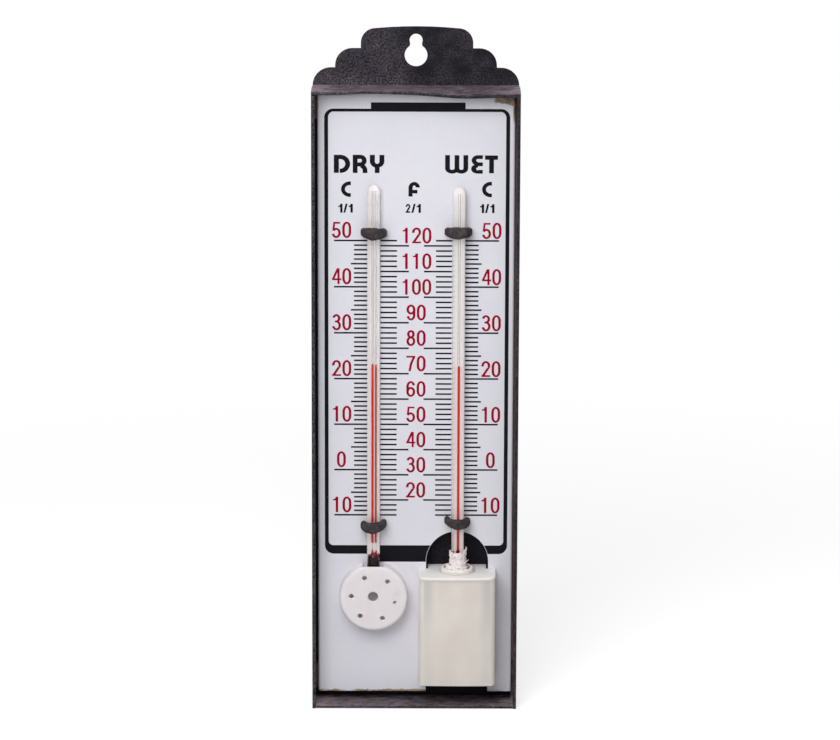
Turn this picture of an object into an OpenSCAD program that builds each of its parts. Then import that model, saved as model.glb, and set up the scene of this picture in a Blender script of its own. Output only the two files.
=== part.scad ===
// Wet and dry bulb hygrometer: two spirit thermometers on a white scale plate in a black sheet tray.
// Millimetres, +Z up, front towards -Y. The origin is the hanging point: the centre of the keyhole's
// small lobe, on the face that lies against the wall.

/* [Case] */
// Outside width of the tray
case_w = 87; // [84:0.5:96]
// Height of the tray, over its lower and top walls
case_h = 268.5; // [240:0.5:300]
// Depth of the tray, from the wall to the front rims
case_d = 17.5; // [16.5:0.5:24]
// Thickness of the black sheet
sheet_t = 0.7; // [0.5:0.1:1]
// How far each front rim is folded back on itself
hem_l = 5; // [3:0.5:7]
// Outside radius of the bends behind the walls
bend_r = 1.5; // [1.1:0.1:1.6]
// How far the top wall's rear flange runs down the back sheet
flange_l = 7; // [4:0.5:12]

/* [Head] */
// From the hanging point up to the head's top edge
head_rise = 5.8; // [5:0.1:8]
// From the hanging point down to the tray's top wall
head_drop = 19.1; // [18:0.1:24]
// How far the lower tier stands in from the tray's sides
shoulder_inset = 0.4; // [0.1:0.1:3]
// How far the middle tier stands in from the lower one, on each side
shoulder_step = 9.4; // [6:0.1:12]
// How far the upper tier stands in from the middle one, on each side
ear_step = 10.3; // [6:0.1:13]
// Height of the upper tier
tier_1_h = 9.3; // [8:0.1:12]
// Height of the middle tier
tier_2_h = 8.2; // [7.5:0.1:11]
// Corner radius of the upper tier
tier_1_r = 6.2; // [3:0.1:7]
// How far the upper tier lies to the right of the tray's middle
tier_1_shift = 0.4; // [-1:0.1:1]
// Corner radius of the middle tier
tier_2_r = 7.2; // [3:0.1:7.4]
// Corner radius of the lower tier
tier_3_r = 8.4; // [3:0.1:9]
// Radius of the slight crown along the top edge
crown_r = 180; // [120:5:400]
// Radius of the keyhole's small lobe, which the nail's shank fills
keyhole_small_r = 2.7; // [2:0.1:3.2]
// Radius of the keyhole's large lobe, which the nail's head passes
keyhole_large_r = 4.75; // [4:0.05:5.5]
// Distance between the centres of the two lobes
keyhole_pitch = 6.4; // [6:0.1:8]

/* [Scale plate] */
// Gap between the tray's left wall and the plate
plate_gap_left = 1.75; // [0.9:0.05:3]
// Gap between the tray's right wall and the plate
plate_gap_right = 1.35; // [0.9:0.05:3]
// Thickness of the plate's sheet
plate_t = 0.6; // [0.4:0.1:1]
// From the tray's top wall down to the plate's upper edge
plate_drop = 2.4; // [2:0.1:4]
// From the tray's floor up to the plate's lower edge
plate_foot = 3.8; // [3.2:0.1:6]
// Clear space between the back sheet and the plate
standoff = 5.8; // [5.4:0.1:8]
// Outside radius of the bends at the plate's side edges
plate_bend_r = 0.9; // [0.8:0.1:1.5]

/* [Thermometers] */
// Distance between the two stems
stem_pitch = 35.55; // [33:0.1:38]
// How far the middle of the two stems lies left of the plate's middle
stem_shift = -0.1; // [-1:0.1:1]
// Radius of the glass stems
stem_r = 2.78; // [2.4:0.02:3]
// From the plate's upper edge down to the dry stem's tip
dry_tip_drop = 38.1; // [30:0.1:46]
// From the plate's upper edge down to the wet stem's tip
wet_tip_drop = 39.2; // [30:0.1:46]
// From the plate's lower edge up to where the stems turn into bulbs
stem_end_rise = 62.1; // [61:0.1:75]
// Sideways tilt of the two flats on each stem's lens front
flat_tilt = 40; // [35:1:45]
// Radius of the nose between the flats
nose_r = 0.8; // [0.4:0.1:1.2]
// How far the nose stands back from the stem's full round
nose_back = 0.38; // [0.2:0.02:0.6]
// Turn of the dry stem about its own length, nose to the right
dry_turn = 16; // [-40:1:40]
// Turn of the wet stem about its own length, nose to the right
wet_turn = -32; // [-40:1:40]
// Outside radius of the bulbs
bulb_r = 2.65; // [2.2:0.05:2.75]
// Length of the bulbs
bulb_l = 16; // [14:0.5:17]
// Wall of the bulbs
bulb_wall = 0.5; // [0.3:0.05:0.7]
// Radius of the capillary bore
bore_r = 0.46; // [0.3:0.02:0.5]
// How far the bore lies behind the stem's middle
bore_back = 0.3; // [0:0.05:0.35]
// Radius of the drawn-in neck between bore and bulb
neck_bore_r = 0.12; // [0.1:0.02:0.25]
// Length of the drawn-in neck
neck_bore_l = 2.7; // [1:0.1:4]
// How far above the dry stem's lower end its neck begins
dry_neck_rise = 5.2; // [3:0.1:8]
// How far above the wet stem's lower end its neck begins
wet_neck_rise = 0.8; // [0.2:0.1:3]
// From the stems' tips down to the blind ends of their bores
bore_head_room = 2.6; // [1.5:0.1:6]
// From the plate's upper edge down to the top of the dry column
dry_column_drop = 115.5; // [70:0.1:180]
// From the plate's upper edge down to the top of the wet column
wet_column_drop = 116.4; // [70:0.1:180]
// Width of the white enamel strip behind each bore
enamel_w = 4.7; // [2.4:0.1:4.8]
// Thickness of the enamel strips
enamel_t = 0.5; // [0.3:0.05:0.5]

/* [Retainers] */
// Height of the rubber straps
strap_h = 4.3; // [3.6:0.1:5.4]
// Thickness of the rubber straps
strap_t = 2.75; // [2:0.05:3]
// How far the ends of a strap stand out behind the plate
strap_tail = 3.9; // [2:0.1:4.2]
// From the plate's upper edge down to the upper dry strap
upper_strap_drop = 60.6; // [55:0.1:70]
// How far the upper wet strap lies above the upper dry one
wet_strap_lift = 0.7; // [-1:0.1:1]
// From the stems' lower ends up to the lower dry strap
dry_strap_rise = 11.8; // [9:0.1:21]
// From the stems' lower ends up to the lower wet strap
wet_strap_rise = 13.4; // [13.4:0.1:21]

/* [Bulb guard] */
// Outside radius of the guard
guard_r = 14.4; // [13.4:0.05:14.6]
// Clear space between the bulb and the guard's front wall
guard_room = 0.65; // [0.4:0.05:3]
// Wall of the guard
guard_wall = 1.1; // [0.8:0.1:1.2]
// Radius of the guard's front edge
guard_edge_r = 1.2; // [0.8:0.1:2]
// From the stem's lower end down to the guard's centre
guard_drop = 18.7; // [17:0.1:20]
// How far the flat at the guard's top lies inside its full round
guard_flat_in = 1.4; // [1.3:0.1:2]
// Width of the notch that the stem passes
guard_notch_w = 9.3; // [7:0.1:11]
// Radius of the guard's central hole
guard_hole_r = 2.2; // [1.5:0.1:3]
// How far the central hole lies above the guard's centre
guard_hole_rise = 1.1; // [0:0.1:3]
// Radius of the small holes round it
guard_vent_r = 0.95; // [0.6:0.05:1.3]
// Radius of the circle that the small holes lie on
guard_vent_circle_r = 9.7; // [8:0.1:10]
// Number of small holes
guard_vents = 6; // [4:1:8]
// Radius of the guard's three pegs
peg_r = 0.95; // [0.8:0.05:1.1]
// How far the pegs reach behind the plate's front face
peg_l = 2.4; // [1.6:0.1:4]

/* [Reservoir] */
// Width of the reservoir in front of the plate
tank_w = 32.6; // [30:0.2:34]
// Height of the reservoir with its lid
tank_h = 48.4; // [40:0.2:49.2]
// Depth of the reservoir in front of the plate, at its sides
tank_d = 13.2; // [11:0.1:16]
// How much further forward the middle of its front bows
tank_bow = 2.1; // [1:0.1:3]
// Wall of the reservoir
tank_wall = 1.2; // [0.9:0.05:1.4]
// Radius of its upright front edges
tank_edge_r = 2.5; // [1.8:0.1:4]
// Radius of its lower front edge
tank_foot_r = 1.6; // [1.3:0.1:3]
// Sideways play of the reservoir's waist in the plate's cut-out
waist_play = 0.8; // [0.1:0.05:1]
// How far the rails behind the plate stand out past the edges of the cut-out
rail_grip = 2.1; // [1:0.1:3]
// Thickness of the rails behind the plate
rail_t = 1.4; // [1:0.1:2]
// From the lid down to the upper ends of the rails
rail_drop = 2.2; // [1.5:0.1:6]
// From the stem's lower end down to the top of the lid
tank_drop = 7; // [6.5:0.1:7.5]
// Thickness of the lid
lid_t = 1.3; // [1:0.1:2]
// Radius of the plate's arched cut-out, which the reservoir slides in
arch_r = 13.2; // [12:0.1:13.6]
// From the stem's lower end down to the centre of the arch
arch_drop = 3.7; // [3:0.1:4.5]
// Outside radius of the neck ring on the lid
neck_r = 7.05; // [6.6:0.05:7.4]
// Wall of the neck ring
neck_wall = 1.6; // [0.8:0.05:1.9]
// Height of the neck ring
neck_h = 1.3; // [0.8:0.1:2.5]

/* [Wick] */
// Thickness of the cotton sleeve on the wet bulb
sleeve_t = 0.7; // [0.5:0.05:1.1]
// How far the sleeve reaches up over the stem
sleeve_rise = 1.6; // [0.5:0.1:3]
// Radius of the wick's tail
tail_r = 1.5; // [1:0.1:1.8]
// Length of the wick's tail below its tie
tail_l = 31; // [15:1:32]
// Radius of the thread that ties the wick
thread_r = 0.3; // [0.2:0.05:0.4]

/* [Adhesive] */
// Radius of the dabs of adhesive beside the plate
dab_r = 6; // [4:0.5:9]
// How far the dabs lie behind the plate's front face
dab_back = 2.5; // [0.5:0.5:3.5]

/* [Clearances] */
// Clearance round what slides or is pulled off
slide_gap = 0.1; // [0.05:0.01:0.1]
// Clearance of the pegs in their holes
peg_gap = 0.05; // [0.03:0.01:0.1]
// Clearance between the glass and what holds it
glass_gap = 0.03; // [0.01:0.01:0.1]
// Clearance between the reservoir's waist and the back sheet
waist_gap = 0.3; // [0.2:0.05:0.6]

/* [Hidden] */
$fn = 64;
eps = 0.5;

// Heights of the tray
z_top = -head_drop;
z_floor = z_top - case_h;
z_plate_top = z_top - plate_drop;
z_plate_bottom = z_floor + sheet_t + plate_foot;

// The head's tiers
tier_3_w = case_w - 2 * shoulder_inset;
tier_2_w = tier_3_w - 2 * shoulder_step;
tier_1_w = tier_2_w - 2 * ear_step;

// The plate's width and middle
plate_w = case_w - 2 * sheet_t - plate_gap_left - plate_gap_right;
plate_x = (plate_gap_left - plate_gap_right) / 2;

// Depths: the plate's two faces and the stems' axes
y_plate_rear = -(sheet_t + standoff);
y_plate_front = y_plate_rear - plate_t;
y_stem = y_plate_front - glass_gap - stem_r;

// Places of the two stems
x_dry = plate_x - stem_shift - stem_pitch / 2;
x_wet = plate_x - stem_shift + stem_pitch / 2;
z_stem_end = z_plate_bottom + stem_end_rise;
z_dry_tip = z_plate_top - dry_tip_drop;
z_wet_tip = z_plate_top - wet_tip_drop;
z_bulb_end = z_stem_end - bulb_l;
z_bulb_round = z_bulb_end + bulb_r;
shoulder_l = 1;
cone_foot = 3.7;
cone_step = 0.06;
spirit_gap = 0.02;
enamel_gap = 0.1;
enamel_rise = 1.5;

// The straps
z_upper_dry_strap = z_plate_top - upper_strap_drop;
z_upper_wet_strap = z_upper_dry_strap + wet_strap_lift;
z_dry_strap = z_stem_end + dry_strap_rise;
z_wet_strap = z_stem_end + wet_strap_rise;
strap_in_r = stem_r + glass_gap;
strap_out_r = strap_in_r + strap_t;
strap_face_r = strap_h * 0.52;
strap_slot_gap = 0.05;

// The guard and its pegs
z_guard = z_stem_end - guard_drop;
guard_d = glass_gap + stem_r + bulb_r + guard_room + guard_wall;
guard_seat_gap = 0.05;
peg_circle_r = guard_r - guard_wall - peg_r + 0.1;
peg_angles = [30, 150, 270];
guard_vent_turn = 52.6;

// The reservoir's heights and depths
z_arch = z_stem_end - arch_drop;
z_tank_top = z_stem_end - tank_drop;
z_tank_floor = z_tank_top - tank_h;
y_tank_rear = y_plate_front - slide_gap;
y_tank_side = y_plate_front - tank_d;
y_tank_front = y_tank_side - tank_bow;
y_rail_front = y_plate_rear + slide_gap;
y_tank_back = -(sheet_t + waist_gap);
waist_w = 2 * (arch_r - waist_play);
rail_w = 2 * (arch_r + rail_grip);
bow_r = (pow(tank_w / 2, 2) + pow(tank_bow, 2)) / (2 * tank_bow);
lid_lip_h = 2;
lid_lip_gap = 0.05;

// The wick
sleeve_in_r = max(stem_r, bulb_r) + glass_gap;
sleeve_out_r = sleeve_in_r + sleeve_t;
z_sleeve_top = z_stem_end + sleeve_rise;
z_sleeve_end = z_bulb_end - sleeve_t;
gather_l = 2.4;
flare = 0.25;
flare_l = 3;
z_tie = z_sleeve_end - gather_l / 2;
tie_turns = 3;
tie_pitch = 1.8 * thread_r;

// A slab drawn in the front view and given a depth from y_rear forward
module front_slab(y_rear, depth) {
    translate([0, y_rear, 0])
        rotate([90, 0, 0])
            linear_extrude(depth)
                children();
}

// A rail drawn in the side view (first axis towards +Y) and run across the width
module cross_rail(width) {
    translate([-width / 2, 0, 0])
        rotate([90, 0, 90])
            linear_extrude(width)
                children();
}

// A box between two corners
module box(low, high) {
    translate(low)
        cube(high - low);
}

// A flat outline, straight below and round at its two upper corners
module tier(width, top, bottom, r) {
    corner = min(r, top - bottom - eps);
    translate([-width / 2, bottom])
        square([width, top - corner - bottom]);
    translate([-width / 2 + corner, bottom])
        square([width - 2 * corner, top - bottom]);
    for (side = [-1, 1])
        translate([side * (width / 2 - corner), top - corner])
            circle(corner);
}

// The upper tier: its round corners meet the ends of the slightly crowned top edge
module crowned_tier() {
    x_corner = tier_1_w / 2 - tier_1_r;
    z_corner_top = head_rise - crown_r + sqrt(pow(crown_r, 2) - pow(x_corner, 2));
    tier(tier_1_w, z_corner_top, z_top - sheet_t, tier_1_r);
    intersection() {
        translate([-x_corner, z_top])
            square([2 * x_corner, head_rise + eps - z_top]);
        translate([0, head_rise - crown_r])
            circle(crown_r, $fn = 360);
    }
}

// The head's scalloped outline
module head_outline() {
    translate([tier_1_shift, 0])
        crowned_tier();
    tier(tier_2_w, head_rise - tier_1_h, z_top - sheet_t, tier_2_r);
    tier(tier_3_w, head_rise - tier_1_h - tier_2_h, z_top - sheet_t, tier_3_r);
}

module keyhole_outline() {
    circle(keyhole_small_r);
    translate([0, -keyhole_pitch])
        circle(keyhole_large_r);
}

// A sheet bent forward along both sides, seen from above: a flat back with a rounded bend at each side
module bent_outline(width, depth, r) {
    translate([-width / 2, -depth])
        square([width, depth - r]);
    translate([-width / 2 + r, -depth])
        square([width - 2 * r, depth]);
    for (side = [-1, 1])
        translate([side * (width / 2 - r), -r])
            circle(r);
}

module bent_section(width, depth, r, t) {
    difference() {
        bent_outline(width, depth, r);
        translate([0, -t])
            bent_outline(width - 2 * t, depth, r - t);
    }
}

// The folded rim at the front of one side wall, seen from above
module side_hem_section() {
    translate([case_w / 2 - 2 * sheet_t, -case_d + sheet_t])
        square([2 * sheet_t, hem_l - sheet_t]);
    translate([case_w / 2 - sheet_t, -case_d + sheet_t])
        circle(sheet_t);
}

module tray_walls() {
    translate([0, 0, z_floor])
        linear_extrude(case_h - sheet_t)
            difference() {
                bent_section(case_w, case_d, bend_r, sheet_t);
                translate([-case_w, -case_d - eps])
                    square([2 * case_w, sheet_t + eps]);
            }
    for (side = [0, 1])
        mirror([side, 0, 0])
            translate([0, 0, z_floor])
                linear_extrude(case_h - sheet_t)
                    side_hem_section();
}

// The floor of the tray and its folded rim, seen from the side
module floor_section() {
    translate([-case_d + sheet_t, z_floor])
        square([case_d - sheet_t, sheet_t]);
    translate([-case_d + sheet_t, z_floor])
        square([hem_l - sheet_t, 2 * sheet_t]);
    translate([-case_d + sheet_t, z_floor + sheet_t])
        circle(sheet_t);
}

// Everything in front of the wall, with the lower rear bend rounded off, seen from the side
module bend_envelope() {
    translate([-case_d - eps, z_floor + bend_r])
        square([case_d + eps, case_h + head_drop + head_rise]);
    translate([-case_d - eps, z_floor - eps])
        square([case_d + eps - bend_r, bend_r + 2 * eps]);
    translate([-bend_r, z_floor + bend_r])
        circle(bend_r);
}

module case_tray() {
    color([0.12, 0.11, 0.12])
        difference() {
            intersection() {
                union() {
                    tray_walls();
                    cross_rail(case_w)
                        floor_section();
                    front_slab(0, sheet_t)
                        head_outline();
                }
                cross_rail(case_w + 2)
                    bend_envelope();
            }
            front_slab(eps, sheet_t + 2 * eps)
                keyhole_outline();
            box([-case_w, -case_d - eps, z_top - 2 * sheet_t], [case_w, -case_d + hem_l, z_top + eps]);
        }
}

// The top wall, seen from the side: a flat top with its front rim folded under
module top_wall_section() {
    translate([-case_d + sheet_t, z_top - sheet_t])
        square([case_d - 2 * sheet_t, sheet_t]);
    translate([-case_d + sheet_t, z_top - 2 * sheet_t])
        square([hem_l - sheet_t, 2 * sheet_t]);
    translate([-case_d + sheet_t, z_top - sheet_t])
        circle(sheet_t);
}

// The top wall's outline from above, trimmed at its rear corners to the head's width
module top_wall_plan() {
    trim = (case_w - tier_3_w) / 2;
    polygon([
        [-case_w / 2, -case_d - eps], [case_w / 2, -case_d - eps],
        [case_w / 2, -case_d / 2], [case_w / 2 - trim, -sheet_t],
        [-case_w / 2 + trim, -sheet_t], [-case_w / 2, -case_d / 2]
    ]);
}

module case_top_wall() {
    flange_w = plate_w - 2 * plate_t - 2 * slide_gap;
    color([0.2, 0.18, 0.19]) {
        intersection() {
            cross_rail(case_w)
                top_wall_section();
            translate([0, 0, z_top - 3 * sheet_t])
                linear_extrude(4 * sheet_t)
                    top_wall_plan();
        }
        box([plate_x - flange_w / 2, -2 * sheet_t, z_top - flange_l],
            [plate_x + flange_w / 2, -sheet_t, z_top - sheet_t]);
    }
}

// The plate's arched cut-out, open at the plate's lower edge
module arch_outline() {
    translate([x_wet, z_arch])
        circle(arch_r);
    translate([x_wet - arch_r, z_plate_bottom - eps])
        square([2 * arch_r, z_arch - z_plate_bottom + eps]);
}

// The two slots that the ends of one strap go through
module strap_slots(x, z) {
    for (side = [-1, 1])
        translate([x + side * (strap_in_r + strap_out_r) / 2, z])
            square([strap_t + 2 * strap_slot_gap, strap_h + 2 * strap_slot_gap], center = true);
}

module peg_holes() {
    for (angle = peg_angles)
        translate([x_dry + peg_circle_r * cos(angle), z_guard + peg_circle_r * sin(angle)])
            circle(peg_r + peg_gap);
}

module scale_plate() {
    color([0.88, 0.88, 0.91])
        difference() {
            translate([plate_x, y_plate_front, z_plate_bottom])
                mirror([0, 1, 0])
                    linear_extrude(z_plate_top - z_plate_bottom)
                        bent_section(plate_w, plate_t + standoff, plate_bend_r, plate_t);
            front_slab(-sheet_t, case_d)
                arch_outline();
            front_slab(-sheet_t, case_d) {
                strap_slots(x_dry, z_upper_dry_strap);
                strap_slots(x_wet, z_upper_wet_strap);
                strap_slots(x_dry, z_dry_strap);
                strap_slots(x_wet, z_wet_strap);
            }
            front_slab(-sheet_t, case_d)
                peg_holes();
        }
}

// A dab of adhesive between the tray's wall and the plate's side edge, behind the plate's face
module adhesive_dab(side, z) {
    wall_x = side * (case_w / 2 - sheet_t);
    edge_x = plate_x + side * plate_w / 2;
    low_x = min(wall_x, edge_x);
    high_x = max(wall_x, edge_x);
    color([0.42, 0.34, 0.2])
        intersection() {
            box([low_x, y_plate_front + dab_back, z - dab_r], [high_x, -bend_r, z + dab_r]);
            translate([low_x, -bend_r, z])
                rotate([0, 90, 0])
                    cylinder(h = high_x - low_x, r = dab_r);
        }
}

module adhesive_top_left() {
    adhesive_dab(-1, z_plate_top - dab_r);
}

module adhesive_top_right() {
    adhesive_dab(1, z_plate_top - dab_r);
}

module adhesive_bottom_left() {
    adhesive_dab(-1, z_plate_bottom + dab_r);
}

module adhesive_bottom_right() {
    adhesive_dab(1, z_plate_bottom + dab_r);
}

// A round rod from z_low up to z_high
module rod(z_low, z_high, r_low, r_high) {
    translate([0, 0, z_low])
        cylinder(h = z_high - z_low, r1 = r_low, r2 = r_high);
}

// A rod with a round lower end, which reaches its full radius at z_round
module round_ended(z_round, z_high, r) {
    rod(z_round, z_high, r, r);
    translate([0, 0, z_round])
        sphere(r);
}

// The hollow of bulb, neck and bore, up to z_column, drawn in by gap all round
module hollow_form(z_column, neck_rise, gap) {
    hollow_r = bulb_r - bulb_wall - gap;
    z_cone = z_stem_end - cone_foot;
    z_neck = z_stem_end + neck_rise;
    round_ended(z_bulb_round, z_cone, hollow_r);
    translate([0, bore_back, 0]) {
        rod(z_cone, z_neck - neck_bore_l, hollow_r - bore_back - cone_step, neck_bore_r - gap);
        rod(z_neck - neck_bore_l, z_neck, neck_bore_r - gap, neck_bore_r - gap);
        rod(z_neck, z_column, bore_r - gap, bore_r - gap);
    }
}

// The stem's section, nose towards -Y: a round back, and two flats that meet in a rounded nose
module lens_section() {
    y_nose = -(stem_r - nose_back - nose_r);
    reach = 2 * stem_r;
    intersection() {
        circle(stem_r);
        union() {
            translate([0, y_nose])
                circle(nose_r);
            polygon([
                [-nose_r * sin(flat_tilt), y_nose - nose_r * cos(flat_tilt)],
                [nose_r * sin(flat_tilt), y_nose - nose_r * cos(flat_tilt)],
                [nose_r * sin(flat_tilt) + reach * cos(flat_tilt),
                    y_nose - nose_r * cos(flat_tilt) + reach * sin(flat_tilt)],
                [2 * reach, reach], [-2 * reach, reach],
                [-nose_r * sin(flat_tilt) - reach * cos(flat_tilt),
                    y_nose - nose_r * cos(flat_tilt) + reach * sin(flat_tilt)]
            ]);
        }
    }
}

// The white strip that is fused into the glass behind the bore
module enamel_form(z_tip) {
    y_low = bore_back + bore_r + enamel_gap;
    box([-enamel_w / 2, y_low, z_stem_end + enamel_rise],
        [enamel_w / 2, y_low + enamel_t, z_tip - bore_head_room]);
}

// One stem drawn on its own axis, with its bulb, its bore and the seat of its enamel strip
module thermometer_glass(z_tip, neck_rise) {
    color([0.9, 0.88, 0.84, 0.4])
        difference() {
            union() {
                intersection() {
                    translate([0, 0, z_stem_end])
                        linear_extrude(z_tip - z_stem_end)
                            lens_section();
                    union() {
                        rod(z_stem_end, z_tip - stem_r, stem_r, stem_r);
                        translate([0, 0, z_tip - stem_r])
                            sphere(stem_r);
                    }
                }
                round_ended(z_bulb_round, z_stem_end - shoulder_l, bulb_r);
                rod(z_stem_end - shoulder_l, z_stem_end + shoulder_l, bulb_r, stem_r - nose_back - nose_r);
            }
            hollow_form(z_tip - bore_head_room, neck_rise, 0);
            enamel_form(z_tip);
        }
}

module spirit(z_column, neck_rise) {
    color([0.78, 0.12, 0.08])
        hollow_form(z_column, neck_rise, spirit_gap);
}

// Stands a thermometer's piece on its own axis, turned about it
module at_stem(x, turn) {
    translate([x, y_stem, 0])
        rotate([0, 0, turn])
            children();
}

module dry_thermometer_glass() {
    at_stem(x_dry, dry_turn)
        thermometer_glass(z_dry_tip, dry_neck_rise);
}

module wet_thermometer_glass() {
    at_stem(x_wet, wet_turn)
        thermometer_glass(z_wet_tip, wet_neck_rise);
}

module dry_enamel_strip() {
    color([0.95, 0.94, 0.9])
        at_stem(x_dry, dry_turn)
            enamel_form(z_dry_tip);
}

module wet_enamel_strip() {
    color([0.95, 0.94, 0.9])
        at_stem(x_wet, wet_turn)
            enamel_form(z_wet_tip);
}

module dry_spirit() {
    at_stem(x_dry, dry_turn)
        spirit(z_plate_top - dry_column_drop, dry_neck_rise);
}

module wet_spirit() {
    at_stem(x_wet, wet_turn)
        spirit(z_plate_top - wet_column_drop, wet_neck_rise);
}

// The strap's section: flat against the glass, rounded outside
module strap_section() {
    intersection() {
        translate([0, -strap_h / 2])
            square([strap_t, strap_h]);
        translate([strap_t - strap_face_r, 0])
            circle(strap_face_r);
    }
}

// A rubber strap over one stem, its two ends pushed through the plate
module retainer(x, z) {
    leg_l = y_plate_rear + strap_tail - y_stem;
    color([0.2, 0.19, 0.2])
        translate([x, y_stem, z]) {
            rotate([0, 0, 180])
                rotate_extrude(angle = 180)
                    translate([strap_in_r, 0])
                        strap_section();
            for (side = [0, 1])
                mirror([side, 0, 0])
                    translate([strap_in_r, leg_l, 0])
                        rotate([90, 0, 0])
                            linear_extrude(leg_l)
                                strap_section();
        }
}

module upper_dry_retainer() {
    retainer(x_dry, z_upper_dry_strap);
}

module upper_wet_retainer() {
    retainer(x_wet, z_upper_wet_strap);
}

module lower_dry_retainer() {
    retainer(x_dry, z_dry_strap);
}

module lower_wet_retainer() {
    retainer(x_wet, z_wet_strap);
}

// Half of the guard's outline, axis first, drawn for turning: height is the depth in front of the plate
module guard_profile(r, depth, edge) {
    square([r - edge, depth]);
    square([r, depth - edge]);
    translate([r - edge, depth - edge])
        intersection() {
            circle(edge);
            square(2 * edge);
        }
}

module bulb_guard() {
    y_rim = y_plate_front - guard_seat_gap;
    shell_d = guard_d - guard_seat_gap;
    color([0.93, 0.92, 0.91])
        translate([x_dry, y_rim, z_guard])
            rotate([90, 0, 0])
                difference() {
                    union() {
                        rotate_extrude()
                            difference() {
                                guard_profile(guard_r, shell_d, guard_edge_r);
                                translate([0, -eps])
                                    square([guard_r - guard_wall, shell_d - guard_wall + eps]);
                            }
                        for (angle = peg_angles)
                            rotate([0, 0, angle])
                                translate([peg_circle_r, 0, -peg_l + guard_seat_gap])
                                    cylinder(h = peg_l - guard_seat_gap + shell_d - guard_wall / 2, r = peg_r);
                    }
                    translate([-guard_notch_w / 2, 0, -eps])
                        cube([guard_notch_w, 2 * guard_r, shell_d - guard_wall + eps]);
                    translate([-guard_r, guard_r - guard_flat_in, -eps])
                        cube([2 * guard_r, guard_r, guard_d + 2 * eps]);
                    translate([0, guard_hole_rise, 0])
                        cylinder(h = 2 * guard_d, r = guard_hole_r);
                    for (i = [0 : guard_vents - 1])
                        rotate([0, 0, guard_vent_turn + i * 360 / guard_vents])
                            translate([guard_vent_circle_r, 0, 0])
                                cylinder(h = 2 * guard_d, r = guard_vent_r, $fn = 32);
                }
}

// The reservoir's part in front of the plate, seen from above, drawn in by inset all round
module tank_front_plan(inset) {
    half = tank_w / 2 - inset;
    r = max(tank_edge_r - inset, 0.1);
    big_r = bow_r - inset;
    y_centre = y_tank_front + bow_r;
    y_edge = y_centre - sqrt(pow(big_r - r, 2) - pow(half - r, 2));
    x_touch = (half - r) * big_r / (big_r - r);
    translate([x_wet, 0]) {
        intersection() {
            translate([-x_touch, y_tank_front - eps])
                square([2 * x_touch, y_tank_rear - inset - y_tank_front + eps]);
            translate([0, y_centre])
                circle(big_r, $fn = 240);
        }
        translate([-half, y_edge])
            square([2 * half, y_tank_rear - inset - y_edge]);
        for (side = [-1, 1])
            translate([side * (half - r), y_edge])
                circle(r);
    }
}

// The reservoir from above: the front block and the waist that goes back through the plate's cut-out
module tank_plan(inset) {
    tank_front_plan(inset);
    translate([x_wet - waist_w / 2 + inset, y_tank_rear - inset - 0.2])
        square([waist_w - 2 * inset, y_tank_back - y_tank_rear + 0.2]);
}

// The rails that catch behind the plate, one on each side of the waist
module rail_plan() {
    for (side = [-1, 1])
        translate([x_wet + side * (waist_w + rail_w) / 4, y_rail_front + rail_t / 2])
            square([(rail_w - waist_w) / 2 + 0.2, rail_t], center = true);
}

// Rounds the reservoir's lower front edge, seen from the side
module foot_envelope() {
    translate([y_tank_front - eps, z_tank_floor + tank_foot_r])
        square([-y_tank_front + eps, tank_h]);
    translate([y_tank_front + tank_foot_r, z_tank_floor - eps])
        square([-y_tank_front, tank_h]);
    translate([y_tank_front + tank_foot_r, z_tank_floor + tank_foot_r])
        circle(tank_foot_r);
}

module reservoir_body() {
    body_h = tank_h - lid_t;
    color([0.9, 0.88, 0.84, 0.85])
        difference() {
            intersection() {
                translate([0, 0, z_tank_floor]) {
                    linear_extrude(body_h)
                        tank_plan(0);
                    linear_extrude(body_h - rail_drop)
                        rail_plan();
                }
                cross_rail(2 * case_w)
                    foot_envelope();
            }
            translate([0, 0, z_tank_floor + tank_wall])
                linear_extrude(body_h)
                    tank_plan(tank_wall);
        }
}

module reservoir_lid() {
    hole_r = neck_r - neck_wall;
    color([0.93, 0.91, 0.87, 0.9])
        difference() {
            union() {
                translate([0, 0, z_tank_top - lid_t])
                    linear_extrude(lid_t)
                        tank_plan(0);
                translate([x_wet, y_stem, z_tank_top - lid_t])
                    cylinder(h = lid_t + neck_h, r = neck_r);
                translate([0, 0, z_tank_top - lid_t - lid_lip_h])
                    linear_extrude(lid_lip_h + lid_t / 2)
                        difference() {
                            tank_front_plan(tank_wall + lid_lip_gap);
                            tank_front_plan(2 * tank_wall);
                            translate([x_wet - tank_w, y_stem])
                                square([2 * tank_w, case_d]);
                        }
            }
            translate([x_wet, y_stem, z_tank_top - 2 * lid_t - lid_lip_h])
                cylinder(h = 3 * lid_t + lid_lip_h + neck_h, r = hole_r);
        }
}

// The cotton sleeve: closed under the bulb and gathered where the thread ties it
module wick_sleeve() {
    color([0.93, 0.91, 0.9])
        translate([x_wet, y_stem, 0])
            difference() {
                union() {
                    round_ended(z_bulb_round, z_sleeve_top, sleeve_out_r);
                    rod(z_sleeve_top - flare_l, z_sleeve_top, sleeve_out_r, sleeve_out_r + flare);
                    rod(z_sleeve_end - gather_l, z_bulb_round, tail_r, tail_r);
                }
                round_ended(z_bulb_round, z_sleeve_top + eps, sleeve_in_r);
            }
}

module wick_tail() {
    color([0.9, 0.88, 0.86])
        translate([x_wet, y_stem, z_sleeve_end - gather_l - tail_l])
            cylinder(h = tail_l, r1 = tail_r * 0.85, r2 = tail_r);
}

module wick_tie() {
    color([0.85, 0.84, 0.82])
        translate([x_wet, y_stem, z_tie])
            rotate_extrude()
                for (turn = [0 : tie_turns - 1])
                    translate([tail_r + thread_r, (turn - (tie_turns - 1) / 2) * tie_pitch])
                        circle(thread_r, $fn = 48);
}

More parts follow.
